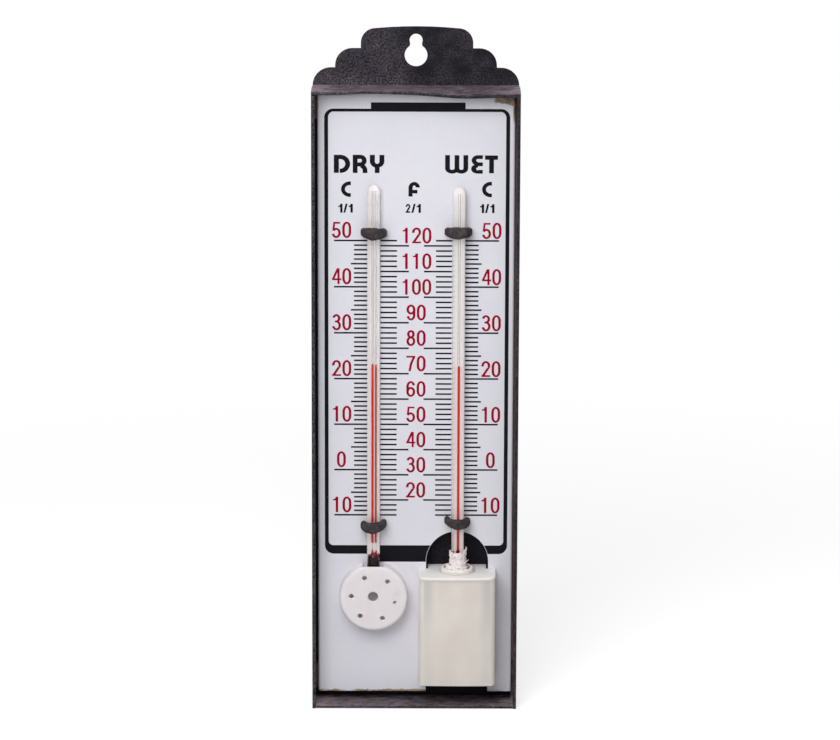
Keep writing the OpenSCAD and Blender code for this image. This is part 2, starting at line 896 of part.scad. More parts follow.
case_tray();
case_top_wall();
scale_plate();
adhesive_top_left();
adhesive_top_right();
adhesive_bottom_left();
adhesive_bottom_right();
dry_thermometer_glass();
dry_enamel_strip();
dry_spirit();
wet_thermometer_glass();
wet_enamel_strip();
wet_spirit();
upper_dry_retainer();
lower_dry_retainer();
upper_wet_retainer();
lower_wet_retainer();
bulb_guard();
reservoir_body();
reservoir_lid();
wick_sleeve();
wick_tail();
wick_tie();
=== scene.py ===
import itertools
from math import atan2, cos, degrees, exp, hypot, pi, radians, sin
from random import seed, uniform

import bmesh
import bpy
from mathutils import Matrix, Vector


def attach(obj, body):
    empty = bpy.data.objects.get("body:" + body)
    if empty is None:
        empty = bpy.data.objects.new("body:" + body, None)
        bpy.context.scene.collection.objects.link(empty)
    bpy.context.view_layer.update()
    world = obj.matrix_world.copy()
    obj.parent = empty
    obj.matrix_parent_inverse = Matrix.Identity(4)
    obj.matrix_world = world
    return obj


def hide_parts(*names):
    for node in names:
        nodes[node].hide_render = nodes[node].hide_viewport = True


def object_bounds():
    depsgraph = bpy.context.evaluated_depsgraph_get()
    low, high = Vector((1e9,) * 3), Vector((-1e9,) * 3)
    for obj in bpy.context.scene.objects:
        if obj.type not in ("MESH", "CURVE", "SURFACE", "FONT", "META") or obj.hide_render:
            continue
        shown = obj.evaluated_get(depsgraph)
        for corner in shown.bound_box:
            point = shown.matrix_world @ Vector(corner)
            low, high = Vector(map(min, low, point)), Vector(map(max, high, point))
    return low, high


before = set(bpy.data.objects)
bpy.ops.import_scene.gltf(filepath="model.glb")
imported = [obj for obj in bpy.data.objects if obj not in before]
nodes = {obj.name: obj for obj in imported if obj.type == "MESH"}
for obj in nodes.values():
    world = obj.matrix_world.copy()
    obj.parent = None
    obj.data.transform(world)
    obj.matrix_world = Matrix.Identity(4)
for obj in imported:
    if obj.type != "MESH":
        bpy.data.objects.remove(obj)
cad_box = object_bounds()

# Case tray: one blank of thin steel sheet with a scalloped head and a keyhole, folded forward into two
# side walls and a bottom wall, its front rims hemmed. It is stoved in a thin black enamel through which
# the sheet shows in fine grey specks, and years on one screw have worn the keyhole pear-shaped.

keyhole_waist = [(2.62, -0.6), (2.47, -1.3), (2.5, -2.1), (2.95, -2.9), (3.6, -3.5)]


def tint(red, green, blue):
    """A colour as it looks, 0 to 255, as a shader takes it."""
    parts = []
    for level in (red, green, blue):
        c = level / 255
        parts.append(c / 12.92 if c <= 0.04045 else ((c + 0.055) / 1.055) ** 2.4)
    return (*parts, 1.0)


def feed(node, key, value):
    if isinstance(value, bpy.types.NodeSocket):
        node.id_data.links.new(value, node.inputs[key])
    else:
        node.inputs[key].default_value = value


def put(kind, inputs=None, tree=None, **options):
    """One shader node, in the tree of its inputs. They are values or other nodes' outputs."""
    inputs = inputs or {}
    for value in inputs.values():
        if isinstance(value, bpy.types.NodeSocket):
            tree = value.id_data
    node = tree.nodes.new("ShaderNode" + kind)
    for name, option in options.items():
        setattr(node, name, option)
    for key, value in inputs.items():
        feed(node, key, value)
    return node


def sums(operation, first, second=0.0, third=0.0):
    return put("Math", {0: first, 1: second, 2: third}, operation=operation).outputs[0]


def product(first, *others):
    for other in others:
        first = sums("MULTIPLY", first, other)
    return first


def rise(value, low, high, start=0.0, end=1.0):
    """Start at low, end at high, and a smooth step between."""
    limits = {"Value": value, "From Min": low, "From Max": high, "To Min": start, "To Max": end}
    return put("MapRange", limits, interpolation_type="SMOOTHSTEP").outputs[0]


def between(share, first, second):
    """A colour that goes from first to second as share goes from 0 to 1."""
    return put("Mix", {0: share, 6: first, 7: second}, data_type="RGBA").outputs[2]


def millimetres(tree, centre=(0, 0, 0)):
    """The place on the piece, in millimetres from centre."""
    here = put("TexCoord", tree=tree).outputs["Object"]
    back = tuple(-c for c in centre)
    return put("Mapping", {"Vector": here, "Scale": (1000,) * 3, "Location": back}).outputs[0]


def axis(place, letter):
    return put("SeparateXYZ", {0: place}).outputs[letter]


def noise(place, size, detail=2.0, rough=0.5, stretch=(1, 1, 1)):
    """Cloudy noise from 0 to 1 whose patches are about size millimetres across."""
    scale = tuple(1 / (size * s) for s in stretch)
    shrunk = put("Mapping", {"Vector": place, "Scale": scale}).outputs[0]
    inputs = {"Vector": shrunk, "Scale": 1.0, "Detail": detail, "Roughness": rough}
    return put("TexNoise", inputs).outputs["Fac"]


def effect(name, inputs, outputs):
    """A shader node group with named inputs and outputs, its input node and its output node."""
    group = bpy.data.node_groups.new(name, "ShaderNodeTree")
    for label, kind, value in inputs:
        socket = group.interface.new_socket(label, in_out="INPUT", socket_type=kind)
        if value is not None:
            socket.default_value = value
    for label, kind in outputs:
        group.interface.new_socket(label, in_out="OUTPUT", socket_type=kind)
    return group, group.nodes.new("NodeGroupInput"), group.nodes.new("NodeGroupOutput")


def use(group, **inputs):
    """A group placed in a material with its own values."""
    return put("Group", inputs, node_tree=group)


def finish(name, centre=(0, 0, 0), **sockets):
    """A new material with its shader's plain values set, its node tree, and the place on the piece."""
    material = bpy.data.materials.new(name)
    material.use_nodes = True
    shader = material.node_tree.nodes["Principled BSDF"]
    for key, value in sockets.items():
        shader.inputs[key.replace("_", " ")].default_value = value
    return material, material.node_tree, millimetres(material.node_tree, centre)


def surfaced(material, colour, rough=None, height=None, depth=0.0):
    """Feeds a material's shader its colour, roughness and relief, whose depth is in millimetres."""
    tree = material.node_tree
    shader = tree.nodes["Principled BSDF"]
    feed(shader, "Base Color", colour)
    if rough is not None:
        feed(shader, "Roughness", rough)
    if height is not None:
        bump = put("Bump", {"Strength": 1.0, "Distance": depth * 0.001, "Height": height})
        feed(shader, "Normal", bump.outputs[0])
    return material


def grain_group():
    """Fine grain: an even mottle for colour and a height for bumps."""
    sockets = [
        ("Place", "NodeSocketVector", None), ("Size", "NodeSocketFloat", 0.5),
        ("Coarse", "NodeSocketFloat", 0.4),
    ]
    results = [("Mottle", "NodeSocketFloat"), ("Height", "NodeSocketFloat")]
    group, inside, outside = effect("fine_grain", sockets, results)
    size = put("CombineXYZ", {i: inside.outputs["Size"] for i in range(3)}).outputs[0]
    shrunk = put("VectorMath", {0: inside.outputs["Place"], 1: size}, operation="DIVIDE").outputs[0]
    fine = put("TexNoise", {"Vector": shrunk, "Scale": 1.0, "Detail": 3.0, "Roughness": 0.7})
    wide = put("TexNoise", {"Vector": shrunk, "Scale": 0.17, "Detail": 2.0, "Roughness": 0.5})
    blend = put("Mix", {0: inside.outputs["Coarse"], 2: fine.outputs["Fac"], 3: wide.outputs["Fac"]})
    group.links.new(rise(blend.outputs[0], 0.36, 0.64), outside.inputs["Mottle"])
    group.links.new(fine.outputs["Fac"], outside.inputs["Height"])
    return group


def dust_group():
    """Dust, handling marks and painted highlight on what faces up, broken by noise, as a mask."""
    sockets = [("Place", "NodeSocketVector", None), ("Amount", "NodeSocketFloat", 0.5)]
    group, inside, outside = effect("settled_dust_and_highlight", sockets, [("Mask", "NodeSocketFloat")])
    up = axis(put("NewGeometry", tree=group).outputs["Normal"], "Z")
    patches = noise(inside.outputs["Place"], 1.8, 4.0, 0.7, (2.4, 1, 1))
    mask = product(rise(up, 0.35, 0.95), rise(patches, 0.3, 0.7), inside.outputs["Amount"])
    group.links.new(mask, outside.inputs["Mask"])
    return group


FINE_GRAIN = grain_group()
DUST_AND_HIGHLIGHT = dust_group()


def grain(place, size, coarse):
    """The mottle and the height of fine grain on a piece."""
    made = use(FINE_GRAIN, Place=place, Size=size, Coarse=coarse)
    return made.outputs["Mottle"], made.outputs["Height"]


def stoved_enamel():
    material, tree, place = finish("black_enamelled_steel", Specular_IOR_Level=0.08)
    x, y, z = (axis(place, letter) for letter in "XYZ")
    mottle, relief = grain(place, 0.75, 0.12)
    clouds = noise(place, 14.0, 3.0, 0.6)
    dark = between(clouds, tint(14, 12, 20), tint(24, 21, 30))
    light = between(clouds, tint(112, 106, 124), tint(120, 112, 108))
    rubbed = sums("ADD", rise(x, 0.0, -14.0, 0.0, 0.3), rise(z, -12.0, -17.0, 0.0, 0.16))
    thin = sums("ADD", rise(clouds, 0.4, 0.66, 0.06, 0.27), rubbed)
    # Painted shade: below the head the sheet keeps only a quarter of its grey specks, so the back sheet and
    # the walls' rear parts inside the tray are drawn darker; the front rims keep theirs.
    head = rise(z, -21.0, -19.0, 0.25, 1.0)
    rims = rise(y, -2.0, -8.0, 0.0, 1.1)
    colour = between(product(mottle, thin, sums("MAXIMUM", head, rims)), dark, light)
    # Painted light: a pale patch on the right wall's inner face behind the plate, drawn as lit.
    right_wall = product(rise(x, 41.2, 41.5), rise(x, 43.2, 43.0), rise(z, -19.5, -21.0))
    behind_plate = product(rise(y, -8.0, -6.5), rise(y, -0.3, -0.5))
    colour = between(product(right_wall, behind_plate, 0.8), colour, tint(176, 160, 156))
    # Dust and painted highlight: faces that look up towards both ends of the case, the top wall's lip ends
    # most, are drawn lighter, partly settled dust and partly painted highlight.
    both_ends = rise(sums("ABSOLUTE", x), 32.0, 43.0, 0.66, 1.5)
    ends = sums("ADD", both_ends, rise(x, -31.0, -39.0, 0.0, 0.7))
    dust_with_highlight = use(DUST_AND_HIGHLIGHT, Place=place, Amount=ends)
    colour = between(dust_with_highlight.outputs["Mask"], colour, tint(140, 126, 132))
    return surfaced(material, colour, rise(mottle, -0.5, 1.5, 0.36, 0.66), relief, 0.05)


BLACK_ENAMEL = stoved_enamel()


def drawn_out(bm, face, step, count):
    """Pulls a face along by step, count times, and returns the end face."""
    for _ in range(count):
        swept = [face] + face.edges[:] + face.verts[:]
        made = bmesh.ops.extrude_face_region(bm, geom=swept)["geom"]
        face = [part for part in made if isinstance(part, bmesh.types.BMFace)][0]
        bmesh.ops.translate(bm, verts=face.verts, vec=step)
    return face


def moved(bm, x, y, z):
    bmesh.ops.translate(bm, verts=bm.verts, vec=(x, y, z))


def placed(name, data):
    """A new object at the origin, in the scene."""
    made = bpy.data.objects.new(name, data)
    bpy.context.scene.collection.objects.link(made)
    return made


def carved(bm, cutters):
    """Cuts the cutters' closed forms out of bm and returns what is left."""
    solids = []
    for label, source in (("blank", bm), ("cutters", cutters)):
        bmesh.ops.recalc_face_normals(source, faces=source.faces)
        mesh = bpy.data.meshes.new(label)
        source.to_mesh(mesh)
        source.free()
        solids.append(placed(label, mesh))
    cut = solids[0].modifiers.new("cut", "BOOLEAN")
    cut.operation = "DIFFERENCE"
    cut.solver = "EXACT"
    cut.object = solids[1]
    whole = bpy.data.meshes.new_from_object(solids[0].evaluated_get(bpy.context.evaluated_depsgraph_get()))
    left = bmesh.new()
    left.from_mesh(whole)
    bpy.data.meshes.remove(whole)
    for solid in solids:
        mesh = solid.data
        bpy.data.objects.remove(solid)
        bpy.data.meshes.remove(mesh)
    return left


def piece(name, bm, material, body, sharp=32, stands_for=()):
    """Turns a mesh drawn in millimetres into a finished piece that rides on a body."""
    bmesh.ops.recalc_face_normals(bm, faces=bm.faces)
    bmesh.ops.scale(bm, vec=(0.001,) * 3, verts=bm.verts)
    for face in bm.faces:
        face.smooth = True
    for edge in bm.edges:
        edge.smooth = len(edge.link_faces) != 2 or edge.calc_face_angle() < radians(sharp)
    mesh = bpy.data.meshes.new(name)
    bm.to_mesh(mesh)
    bm.free()
    mesh.materials.append(material)
    made = placed(name, mesh)
    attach(made, body)
    if stands_for:
        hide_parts(*stands_for)
    return made


bm = bmesh.new()
bm.from_mesh(nodes["case_tray"].data)
bmesh.ops.scale(bm, vec=(1000,) * 3, verts=bm.verts)
bmesh.ops.remove_doubles(bm, verts=bm.verts, dist=0.001)
waist = bmesh.new()
corners = keyhole_waist + [(-x, z) for x, z in reversed(keyhole_waist)]
face = waist.faces.new([waist.verts.new((x, 1, z)) for x, z in corners])
drawn_out(waist, face, (0, -3, 0), 1)
bm = carved(bm, waist)
piece("tray_with_worn_keyhole", bm, BLACK_ENAMEL, "case", 10, ["case_tray"])

# Case top wall: a separate strip of the same sheet, folded down behind the plate and rolled under along
# its front into a thick lip. Years of handling have left the lip gently wavy and opened its roll
# towards the right.

wall_half, wall_top, wall_front, wall_rear = 43.5, -19.1, -17.5, -0.72
wall_sheet, wall_lip, wall_steps = 0.7, 5.0, 58
level_from = -9.0


def held(value):
    """Value, kept from 0 to 1."""
    return min(max(value, 0), 1)


def block(bm, middle, size):
    """Adds a plain box."""
    bmesh.ops.create_cube(bm, size=1, matrix=Matrix.Translation(middle) @ Matrix.Diagonal((*size, 1)))


def lip_wave(x):
    """How far the lip stands above its true line at x."""
    swells = ((0.55, -30, 13), (-0.5, 24, 16), (1.3, -9, 15), (0.2, -24, 7))
    swell = sum(high * exp(-((x - middle) / spread) ** 2) for high, middle, spread in swells)
    return swell + 0.12 * sin(x / 4.1) + 0.4 * (x / wall_half) ** 2


def roll_open(x):
    """How far the rolled edge hangs open below the sheet at x."""
    return 0.2 + 0.3 / (1 + exp(-(x - 8) / 7))


bm = bmesh.new()
roll = [(wall_front + wall_sheet, -2 * wall_sheet), (wall_front + wall_lip, -2 * wall_sheet)]
flat = [(wall_front + wall_lip, -wall_sheet), (level_from, -wall_sheet), (wall_rear, -wall_sheet)]
upper = [(wall_rear, 0), (level_from, 0), (-13.0, 0), (wall_front + wall_sheet, 0)]
nose = [
    (wall_front + wall_sheet - wall_sheet * sin(a), -wall_sheet + wall_sheet * cos(a))
    for a in [radians(d) for d in (30, 60, 90, 120, 150)]
]
outline = [(-wall_half, y, wall_top + z) for y, z in roll + flat + upper + nose]
start = bm.faces.new([bm.verts.new(corner) for corner in outline])
drawn_out(bm, start, (2 * wall_half / wall_steps, 0, 0), wall_steps)
for vert in bm.verts:
    x, y, z = vert.co
    near = held((level_from - y) / (level_from - wall_front)) ** 1.5
    under = held((wall_top - z - wall_sheet) / wall_sheet)
    vert.co.z += near * lip_wave(x) - under * roll_open(x) * (0.4 + 0.6 * near)
    vert.co.y += 0.1 * near * sin(x / 9)
    if y > -8.8:
        vert.co.x *= 1 - 0.4 / wall_half * (y + 8.8) / 8.1
block(bm, (0.2, -1.05, -22.95), (81.1, 0.68, 6.3))
piece("top_wall_with_rolled_lip", bm, BLACK_ENAMEL, "case", 50, ["case_top_wall"])

# Scale plate: thin aluminium sheet with a satin white coating, punched for the straps, the guard's pegs
# and the reservoir, its side edges folded back to stand it off the tray. Its cut edges are bare metal,
# and old adhesive has stained the coating at the top right corner and along the foot.


def satin_coat():
    material, tree, place = finish("white_coated_aluminium", Specular_IOR_Level=0.3)
    x, y, z = (axis(place, letter) for letter in "XYZ")
    mottle, relief = grain(place, 2.6, 0.5)
    haze = noise(place, 24.0, 2.0)
    white = between(haze, tint(230, 229, 236), tint(223, 223, 232))
    white = between(product(mottle, 0.12), white, tint(205, 200, 214))
    ragged = noise(place, 2.2, 4.0, 0.65)
    across = sums("MULTIPLY_ADD", ragged, 3.2, x)
    height = sums("MULTIPLY_ADD", ragged, 2.2, sums("MULTIPLY_ADD", x, 0.16, z))
    corner = product(rise(across, 34.0, 34.9), rise(height, -18.9, -18.4))
    edge = product(rise(x, 40.3, 40.8), rise(z, -35.0, -31.0))
    foot = sums("MULTIPLY_ADD", ragged, -1.9, sums("ADD", z, 283.1))
    patches = rise(noise(place, 9.0, 2.0), 0.36, 0.5)
    stain = sums("MAXIMUM", corner, edge)
    stain = sums("MAXIMUM", stain, product(rise(foot, 0.1, -0.5), patches))
    brown = between(rise(ragged, 0.38, 0.62), tint(88, 66, 28), tint(152, 118, 54))
    stained = between(product(stain, 0.85), white, brown)
    facing = sums("ABSOLUTE", axis(put("NewGeometry", tree=tree).outputs["Normal"], "Y"))
    bare = product(rise(facing, 0.5, 0.2), rise(y, -6.3, -6.6))
    colour = between(bare, stained, tint(190, 172, 150))
    return surfaced(material, colour, rise(haze, 0.2, 0.8, 0.5, 0.62), relief, 0.02)


def dress(node, material):
    """Gives a CAD node its material."""
    for slot in nodes[node].material_slots:
        slot.material = material


COAT = satin_coat()
dress("scale_plate", COAT)

# Printing on the plate: a black border with two broad bars, the words over the two thermometers, unit
# letters, small ratios and division lines in black, and the scale numbers in crimson. It is screen
# printed in a film of ink that breaks here and there.

ink_rear, ink_film, ink_step = -7.092, 0.03, 0.0012
strokes = itertools.count()
UPRIGHT = Matrix.Rotation(pi / 2, 4, "X")


def printing_ink(name, colour, thick, worn):
    material, tree, place = finish(name, Specular_IOR_Level=0.08, Roughness=0.5)
    mottle, relief = grain(place, 0.5, 0.3)
    gaps = rise(noise(place, 0.8, 3.0, 0.6), worn, worn + 0.05)
    inked = between(product(mottle, 0.5), colour, thick)
    return surfaced(material, between(gaps, inked, tint(150, 148, 158)), None, relief, 0.01)


BLACK_INK = printing_ink("black_printing_ink", tint(12, 13, 18), tint(26, 26, 32), 0.72)
LINE_INK = printing_ink("division_line_ink", tint(16, 17, 24), tint(40, 40, 50), 0.69)
CRIMSON_INK = printing_ink("crimson_printing_ink", tint(160, 0, 40), tint(136, 0, 38), 0.74)


def stroke_depth():
    """Where the next stroke lies: strokes that cross are a hair apart."""
    return ink_rear - ink_step * (next(strokes) % 9)


def slant(bm, foot, head, width):
    """A straight stroke on the plate with level ends, from the middle of its foot to that of its head."""
    along = (head[0] - foot[0], head[1] - foot[1])
    middle = ((head[0] + foot[0]) / 2, (head[1] + foot[1]) / 2)
    rows = ((width, 0, along[0], middle[0]), (0, 1, 0, stroke_depth()), (0, 0, along[1], middle[1]))
    lie = Matrix((*rows, (0, 0, 0, 1))) @ UPRIGHT
    bmesh.ops.create_grid(bm, x_segments=1, y_segments=1, size=0.5, matrix=lie)


def bar(bm, left, right, top, bottom):
    """An upright or level stroke."""
    middle = (left + right) / 2
    slant(bm, (middle, bottom), (middle, top), right - left)


def circle(bm, radius, lie, segments):
    """Adds a round loop of edges and returns them."""
    made = bmesh.ops.create_circle(bm, cap_ends=False, segments=segments, radius=radius, matrix=lie)
    return list({edge for vert in made["verts"] for edge in vert.link_edges})


def added(bm, other):
    """Moves another mesh into bm."""
    carrier = bpy.data.meshes.new("carrier")
    other.to_mesh(carrier)
    other.free()
    bm.from_mesh(carrier)
    bpy.data.meshes.remove(carrier)


def bow(bm, centre, outer, inner, span=None, left=None, right=None, top=None, bottom=None, segments=64):
    """A curved stroke: an oval ring on the plate, kept between two angles or cut off at straight lines."""
    ring = bmesh.new()
    middle = Matrix.Translation((centre[0], stroke_depth(), centre[1]))
    loops = []
    for width, height in (outer, inner):
        loops += circle(ring, 1, middle @ Matrix.Diagonal((width, 1, height, 1)) @ UPRIGHT, segments)
    bmesh.ops.bridge_loops(ring, edges=loops)
    if span:
        beyond = []
        for face in ring.faces:
            spot = face.calc_center_median()
            angle = atan2((spot.z - centre[1]) / outer[1], (spot.x - centre[0]) / outer[0])
            if (degrees(angle) - span[0]) % 360 > span[1] - span[0]:
                beyond.append(face)
        bmesh.ops.delete(ring, geom=beyond, context="FACES")
    for limit, away in ((left, (-1, 0, 0)), (right, (1, 0, 0)), (top, (0, 0, 1)), (bottom, (0, 0, -1))):
        if limit is not None:
            spot = [limit * abs(part) for part in away]
            parts = ring.verts[:] + ring.edges[:] + ring.faces[:]
            bmesh.ops.bisect_plane(ring, geom=parts, plane_co=spot, plane_no=away, clear_outer=True)
    added(bm, ring)


def printed(name, bm, ink):
    """Gives flat strokes the thickness of the ink film and lays them on the plate."""
    made = bmesh.ops.extrude_face_region(bm, geom=bm.faces[:], use_keep_orig=True)["geom"]
    front = [part for part in made if isinstance(part, bmesh.types.BMVert)]
    bmesh.ops.translate(bm, verts=front, vec=(0, -ink_film, 0))
    piece(name, bm, ink, "case")


line_left, line_right, line_top, line_foot = -38.2, 39.3, -27.8, -221.6
side_w, top_w, band_top, corner_r, inner_r = 1.62, 1.25, -217.8, 3.8, 2.0
arch_x, arch_z, arch_r = 18.075, -224.7, 13.2
bm = bmesh.new()
bar(bm, line_left, line_left + side_w, line_top - corner_r, band_top)
bar(bm, line_right - side_w, line_right, line_top - corner_r, band_top)
bar(bm, line_left + corner_r, line_right - corner_r, line_top, line_top - top_w)
bar(bm, -18.7, 20.7, -25.1, line_top)
for side, edge in ((-1, line_left), (1, line_right)):
    middle = edge - side * corner_r
    keep = {"right" if side < 0 else "left": middle}
    high = line_top - corner_r
    bow(bm, (middle, high), (corner_r,) * 2, (corner_r - side_w, corner_r - top_w), bottom=high, **keep)
    bow(bm, (middle, band_top), (corner_r,) * 2, (0.02, 0.02), top=band_top, **keep)
    inside = edge - side * side_w
    limits = dict(zip(("left", "right"), sorted((inside, inside - side * inner_r))))
    fillet = (inside - side * inner_r, band_top + inner_r)
    bow(bm, fillet, (2 * inner_r,) * 2, (inner_r,) * 2, top=fillet[1], bottom=band_top, **limits)
clear = (arch_r + 0.12,) * 2
for left, right, top, bottom in (
    (line_left + corner_r, arch_x, band_top, line_foot),
    (arch_x, line_right - corner_r, band_top, line_foot),
    (-15.1, arch_x, line_foot, -225.1),
):
    bow(bm, (arch_x, arch_z), (70, 70), clear, None, left, right, top, bottom, 256)
printed("printed_border", bm, BLACK_INK)

# The words DRY and WET, letter after letter, and under them the units C, F and C.
cap_top, cap_foot = -47.5, -55.25
bm = bmesh.new()
bar(bm, -34.2, -32.1, cap_top, cap_foot)
bar(bm, -32.1, -31.4, cap_top, -49.3)
bar(bm, -31.75, -31.4, -53.4, cap_foot)
bow(bm, (-31.4, -51.38), (4.0, 3.88), (1.95, 2.06), left=-31.4)
bar(bm, -26.3, -24.3, cap_top, cap_foot)
bar(bm, -24.3, -23.1, cap_top, -49.25)
bar(bm, -24.3, -23.1, -50.75, -52.45)
bow(bm, (-23.1, -49.98), (2.62, 2.48), (0.62, 0.76), left=-23.1)
bow(bm, (-23.1, -54.2), (2.9, 2.9), (0.95, 1.15), left=-23.1, bottom=-54.2)
bar(bm, -22.15, -20.2, -54.2, cap_foot)
bar(bm, -19.15, -17.05, cap_top, -50.2)
bar(bm, -15.15, -13.1, cap_top, -50.2)
bow(bm, (-16.12, -50.2), (3.03, 2.8), (0.95, 1.15), top=-50.2)
bar(bm, -17.1, -15.1, -52.0, cap_foot)
for left in (12.25, 16.2, 19.9):
    bar(bm, left, left + 2.0, cap_top, -53.2)
bow(bm, (15.22, -53.2), (2.97, 2.2), (0.97, 0.6), top=-53.2)
bow(bm, (19.05, -53.2), (2.85, 2.2), (0.85, 0.6), top=-53.2)
bow(bm, (26.0, -49.75), (2.65, 2.25), (0.75, 0.62), right=26.0)
bow(bm, (26.0, -53.35), (2.9, 2.05), (0.75, 0.65), right=26.0)
bar(bm, 26.0, 28.0, cap_top, -49.13)
bar(bm, 26.0, 28.0, -50.6, -52.2)
bar(bm, 26.0, 28.0, -53.8, -55.4)
bar(bm, 28.9, 34.3, -47.6, -49.45)
bar(bm, 30.65, 32.65, -49.45, cap_foot)
for right in (-27.1, 31.85):
    bow(bm, (right - 0.5, -62.2), (3.6, 3.3), (1.95, 1.72), right=right)
bow(bm, (-0.62, -61.65), (2.4, 2.62), (0.68, 1.1), bottom=-61.4)
bar(bm, -3.02, -1.3, -61.4, -65.3)
bar(bm, -1.3, 0.75, -62.45, -63.95)
printed("printed_words_and_units", bm, BLACK_INK)

# The ratios 1/1, 2/1 and 1/1 under the units.
ratio_foot, ratio_top = -72.3, -68.5
bm = bmesh.new()
for left, first in ((-32.33, "1"), (-4.17, "2"), (26.92, "1")):
    ones = [left + (4.62 if first == "2" else 4.32)]
    if first == "1":
        ones.append(left)
        slash = left + 2.99
    else:
        slash = left + 3.29
        bow(bm, (left + 0.98, ratio_top - 1.1), (0.98, 1.1), (0.28, 0.45), (-35, 190))
        slant(bm, (left + 0.5, ratio_foot + 0.3), (left + 1.42, ratio_top - 1.5), 0.85)
        bar(bm, left, left + 1.95, ratio_foot + 0.62, ratio_foot)
    slant(bm, (slash - 0.46, ratio_foot), (slash + 0.46, ratio_top + 0.05), 0.85)
    for one in ones:
        bar(bm, one + 0.75, one + 1.75, ratio_top, ratio_foot)
        bar(bm, one, one + 0.9, ratio_top - 0.78, ratio_top - 1.38)
        slant(bm, (one + 0.72, ratio_top - 1.1), (one + 1.2, ratio_top - 0.05), 0.6)
printed("printed_ratios", bm, BLACK_INK)

scale_top, line_w = -84.3, 0.7


def line(bm, left, right, z):
    """A division line."""
    bar(bm, left, right, z + line_w / 2, z - line_w / 2)


bm = bmesh.new()
for step in range(61):
    z = scale_top - 2 * step
    far = {0: (-34.2, 35.0), 5: (-27.1, 27.8)}.get(step % 10, (-25.8, 26.5))
    line(bm, far[0], -20.0, z)
    line(bm, 20.95, far[1], z)
for fahrenheit in range(14, 123, 2):
    z = scale_top - (122 - fahrenheit) / 0.9
    far = (-2.75, 3.55) if fahrenheit % 10 == 0 else (-7.75, 8.6)
    line(bm, -14.7, far[0], z)
    line(bm, far[1], 15.35, z)
printed("printed_divisions", bm, LINE_INK)

# Each figure fills a cell 3.75 mm wide and 6.85 mm high. Its bends are (x, z, half width, half height,
# first degree, last degree) and its straights (foot x, foot z, head x, head z, width).
cell_w, cell_h, pitch = 3.75, 6.85, 4.34
stem_w, level_w = 1.05, 0.88
SHAPES = {
    "0": (
        [(1.875, 4.35, 1.875, 2.6, 0, 180), (1.875, 2.5, 1.875, 2.6, 180, 360)],
        [(0.525, 2.5, 0.525, 4.35, 1.05), (3.225, 2.5, 3.225, 4.35, 1.05)],
    ),
    "1": ([], [(1.98, 0, 1.98, 6.85, 1.05), (1.0, 5.2, 1.0, 5.85, 1.26), (1.15, 5.45, 1.95, 6.75, 0.7)]),
    "2": (
        [(1.875, 4.9, 1.875, 2.05, -36, 192)],
        [(0.72, 0.5, 2.98, 4.0, 1.16), (1.875, 0, 1.875, 0.78, 3.75)],
    ),
    "3": (
        [(1.83, 5.15, 1.7, 1.8, -90, 168), (1.875, 2.02, 1.875, 2.12, -168, 90)],
        [(1.55, 3.36, 1.55, 4.13, 0.75)],
    ),
    "4": ([], [(0.5, 2.2, 2.55, 6.85, 1.0), (1.95, 1.68, 1.95, 2.45, 3.9), (2.75, 0, 2.75, 6.85, 0.9)]),
    "5": (
        [(1.82, 2.1, 1.9, 2.2, -166, 146)],
        [(0.62, 3.1, 0.98, 6.5, 0.85), (2.0, 6.08, 2.0, 6.85, 2.9)],
    ),
    "6": (
        [(1.875, 2.1, 1.875, 2.2, 0, 360), (1.875, 4.45, 1.875, 2.5, 22, 180)],
        [(0.525, 2.1, 0.525, 4.45, 1.05)],
    ),
    "7": ([], [(1.35, 0, 1.95, 3.3, 1.0), (1.95, 3.3, 3.2, 6.3, 1.02), (1.875, 6.08, 1.875, 6.85, 3.75)]),
    "8": ([(1.875, 5.15, 1.62, 1.8, 0, 360), (1.875, 2.02, 1.875, 2.12, 0, 360)], []),
    "9": (
        [(1.875, 4.75, 1.875, 2.2, 0, 360), (1.875, 2.4, 1.875, 2.5, 202, 360)],
        [(3.225, 2.4, 3.225, 4.75, 1.05)],
    ),
}


def numbered(bm, text, right, foot, tall=cell_h):
    """Figures in a row whose last cell ends at right."""
    for place, figure in enumerate(reversed(text)):
        left = right - cell_w - pitch * place
        k = tall / cell_h
        bends, straights = SHAPES[figure]
        for x, z, half_w, half_h, first, last in bends:
            inner = (half_w - stem_w, half_h * k - level_w)
            bow(bm, (left + x, foot + z * k), (half_w, half_h * k), inner, (first, last))
        for x, z, head_x, head_z, width in straights:
            slant(bm, (left + x, foot + z * k), (left + head_x, foot + head_z * k), width)


bm = bmesh.new()
for step, text in enumerate(("50", "40", "30", "20", "10", "0", "10")):
    z = scale_top - 20 * step
    numbered(bm, text, -29.28 if text == "0" else -26.95, z + 1.15)
    numbered(bm, text, 33.85 if text == "0" else 36.0, z + 0.9)
printed("printed_celsius_figures", bm, CRIMSON_INK)
bm = bmesh.new()
for fahrenheit in range(20, 121, 10):
    z = scale_top - (122 - fahrenheit) / 0.9
    numbered(bm, str(fahrenheit), 6.65 if fahrenheit > 99 else 4.38, z + 1.1, 6.7)
printed("printed_fahrenheit_figures", bm, CRIMSON_INK)

# Adhesive: dabs of old amber glue that bond the plate's folded edges to the tray's walls.


def amber_glue():
    material, tree, place = finish("aged_adhesive", Specular_IOR_Level=0.4)
    mottle, relief = grain(place, 1.4, 0.5)
    colour = between(mottle, tint(46, 35, 22), tint(98, 76, 46))
    return surfaced(material, colour, rise(mottle, 0.0, 1.0, 0.3, 0.6), relief, 0.3)


GLUE = amber_glue()
for spot in ("top_left", "top_right", "bottom_left", "bottom_right"):
    dress("adhesive_" + spot, GLUE)

# Thermometers: drawn glass with a lens front that spreads the fine bore into a broad line, a strip of
# white enamel fused behind the bore, and red spirit in bulb and bore. Each lies turned in its straps, so
# the dry one shows its thread twice and the wet one once.

stem_y = -9.91
stem_foot = -221.0
strip_half, strip_front, strip_rear = 2.37, 0.84, 1.38
bore_back, bore_r, hollow_r = 0.3, 0.48, 2.17


